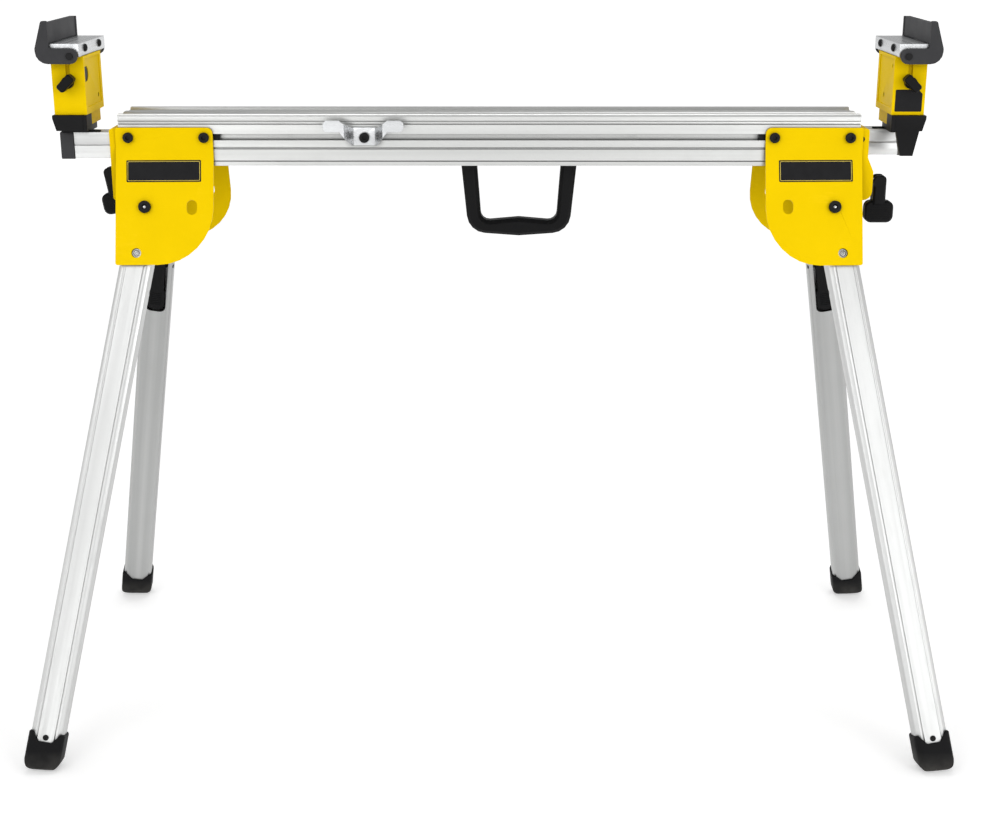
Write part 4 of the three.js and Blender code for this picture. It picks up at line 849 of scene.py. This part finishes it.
def ribs(name, place, length, first, step, count, body):
    """A row of thin raised ribs across a finger pad."""
    shape = bmesh.new()
    for index in range(count):
        bar = sheet(oblong(length, RIB_WIDTH, RIB_CORNER), RIB_THICKNESS)
        bar.transform(Matrix.Translation((0, first + index * step, -RIB_SINK)))
        mesh = bpy.data.meshes.new("rib")
        bar.to_mesh(mesh)
        bar.free()
        shape.from_mesh(mesh)
        bpy.data.meshes.remove(mesh)
    detail(name, shape, place, "black_plastic", body, "black_plastic", bevel=0.25)


LEVER_FACE = 15.5
LEVER_PAD_END = 186


def lock_pad_ribs(row, end):
    place = leg_place(row, end) @ facing((0, LEVER_FACE, -LEVER_PAD_END), (0, 1, 0))
    ribs(f"{row}_{end}_lock_pad_ribs", place, length=15.5, first=9, step=3.2, count=7,
         body=f"{row}_{end}_lock_lever")


CLAMP_SWING = {"left": math.radians(-10), "right": 0}  # the left lever stands off the upright
CLAMP_PAD_ACROSS = 1.3
CLAMP_PAD_FACE = 8.5
CLAMP_PAD_DROP = 42


def clamp_pad_ribs(end):
    side = ENDS[end]
    hinge = Matrix.Translation((side * CLAMP_REACH, -side * CLAMP_DEPTH, CLAMP_HEIGHT))
    hinge = hinge @ Matrix.Rotation(CLAMP_SWING[end], 4, "Y")
    for face, way in (("front", -1), ("rear", 1)):
        middle = (side * CLAMP_PAD_ACROSS, way * CLAMP_PAD_FACE, -CLAMP_PAD_DROP)
        ribs(f"{end}_clamp_pad_ribs_{face}", hinge @ facing(middle, (0, way, 0)),
             length=29, first=-9.6, step=2.4, count=9, body=f"{end}_clamp_lever")


for end in ENDS:
    plate_label(end)
    tray_screws(end)
    base_cheek(end)
    clamp_washer(end)
    clamp_pad_ribs(end)
    for row in ROWS:
        pivot_stud(row, end)
        foot_rivet(row, end)
        lock_pad_ribs(row, end)
for hole_shade in HOLE_SHADES:
    sleeve_hole_shade(*hole_shade)
head_label()
cap_screw()


# Studio, in metres


FLOOR_HALF = 60
FLOOR_DROP = 0.0002  # below the feet
FLOOR_TONES = ((0.84, 0.84, 0.84), (0.86, 0.86, 0.86))
# Only camera, glossy and transmission rays see the lift, so that the floor looks white.
FLOOR_LIFT_NEAR = 0.38
FLOOR_LIFT_FAR = 0.66
LIFT_START = 1.0  # distances from the stand's middle
LIFT_END = 5.5


def make_floor():
    mesh = bpy.data.meshes.new("floor")
    corners = [(-1, -1), (1, -1), (1, 1), (-1, 1)]
    points = [(x * FLOOR_HALF, y * FLOOR_HALF, -FLOOR_DROP) for x, y in corners]
    mesh.from_pydata(points, [], [(0, 1, 2, 3)])
    floor = bpy.data.objects.new("floor", mesh)
    bpy.context.scene.collection.objects.link(floor)
    finish = Finish("studio_floor")
    finish.set(Roughness=0.9, Specular_IOR_Level=0.1, Emission_Color=(1, 1, 1, 1))
    cloud = finish.noise(finish.place, scale=1.5)
    finish.drive("Base Color", finish.blend(finish.spread(cloud, 0.0, 1.0), *FLOOR_TONES))
    reach = finish.node("ShaderNodeVectorMath", operation="LENGTH")
    finish.link(finish.place, reach.inputs[0])
    lift = finish.spread(reach.outputs["Value"], FLOOR_LIFT_NEAR, FLOOR_LIFT_FAR,
                         start=LIFT_START, end=LIFT_END)
    rays = finish.node("ShaderNodeLightPath").outputs
    seen = finish.plus(rays["Is Camera Ray"], rays["Is Glossy Ray"])
    seen = finish.plus(seen, rays["Is Transmission Ray"])
    finish.drive("Emission Strength", finish.times(lift, seen))
    mesh.materials.append(finish.material)


# The strength by the direction's Y, behind the stand and in front of it.
WORLD_REAR = 0.40
WORLD_REAR_END = 0.8
WORLD_FRONT = 0.79
WORLD_FRONT_END = -0.9
# Its factor by the direction's Z, at the horizon and high up.
WORLD_LOW = 1.6
WORLD_HIGH = 0.75
WORLD_HIGH_START = 0.6


def make_world():
    """A soft room: bright in front of the stand and low down, dimmer overhead and behind."""
    world = bpy.data.worlds.new("studio")
    bpy.context.scene.world = world
    world.use_nodes = True
    tree = world.node_tree
    background = tree.nodes["Background"]
    background.inputs["Color"].default_value = (1, 1, 1, 1)
    direction = tree.nodes.new("ShaderNodeTexCoord").outputs["Generated"]
    separate = tree.nodes.new("ShaderNodeSeparateXYZ")
    tree.links.new(direction, separate.inputs["Vector"])
    along = ramp(tree, separate.outputs["Y"], WORLD_REAR_END, WORLD_FRONT_END,
                 WORLD_REAR, WORLD_FRONT, interpolation="SMOOTHSTEP")
    rise = ramp(tree, separate.outputs["Z"], 0.0, WORLD_HIGH_START, WORLD_LOW, WORLD_HIGH)
    strength = tree.nodes.new("ShaderNodeMath")
    strength.operation = "MULTIPLY"
    tree.links.new(along, strength.inputs[0])
    tree.links.new(rise, strength.inputs[1])
    tree.links.new(strength.outputs[0], background.inputs["Strength"])


LAMPS = {  # place, target, width and height, watts
    "key": ((-1.9, -3.2, 2.6), (0, 0, 0.6), (2.2, 1.6), 25),
    "fill": ((2.4, -3.0, 1.7), (0, 0, 0.6), (1.6, 1.8), 26),
    "top": ((0, 0.9, 3.4), (0, 0, 0.6), (3.0, 1.4), 35),
    "low_left": ((-1.5, -3.4, 0.5), (-0.5, 0, 0.15), (1.3, 0.7), 6),
    "low_right": ((1.5, -3.4, 0.5), (0.5, 0, 0.15), (1.3, 0.7), 4.5),
}


def make_lamp(name, place, target, size, power):
    data = bpy.data.lights.new(name, "AREA")
    data.shape = "RECTANGLE"
    data.size, data.size_y = size
    data.energy = power
    lamp = bpy.data.objects.new(name, data)
    lamp.location = place
    aim = Vector(target) - Vector(place)
    lamp.rotation_euler = aim.to_track_quat("-Z", "Y").to_euler()
    bpy.context.scene.collection.objects.link(lamp)


make_floor()
make_world()
for name, values in LAMPS.items():
    make_lamp(name, *values)
bpy.context.scene.view_settings.view_transform = "Standard"
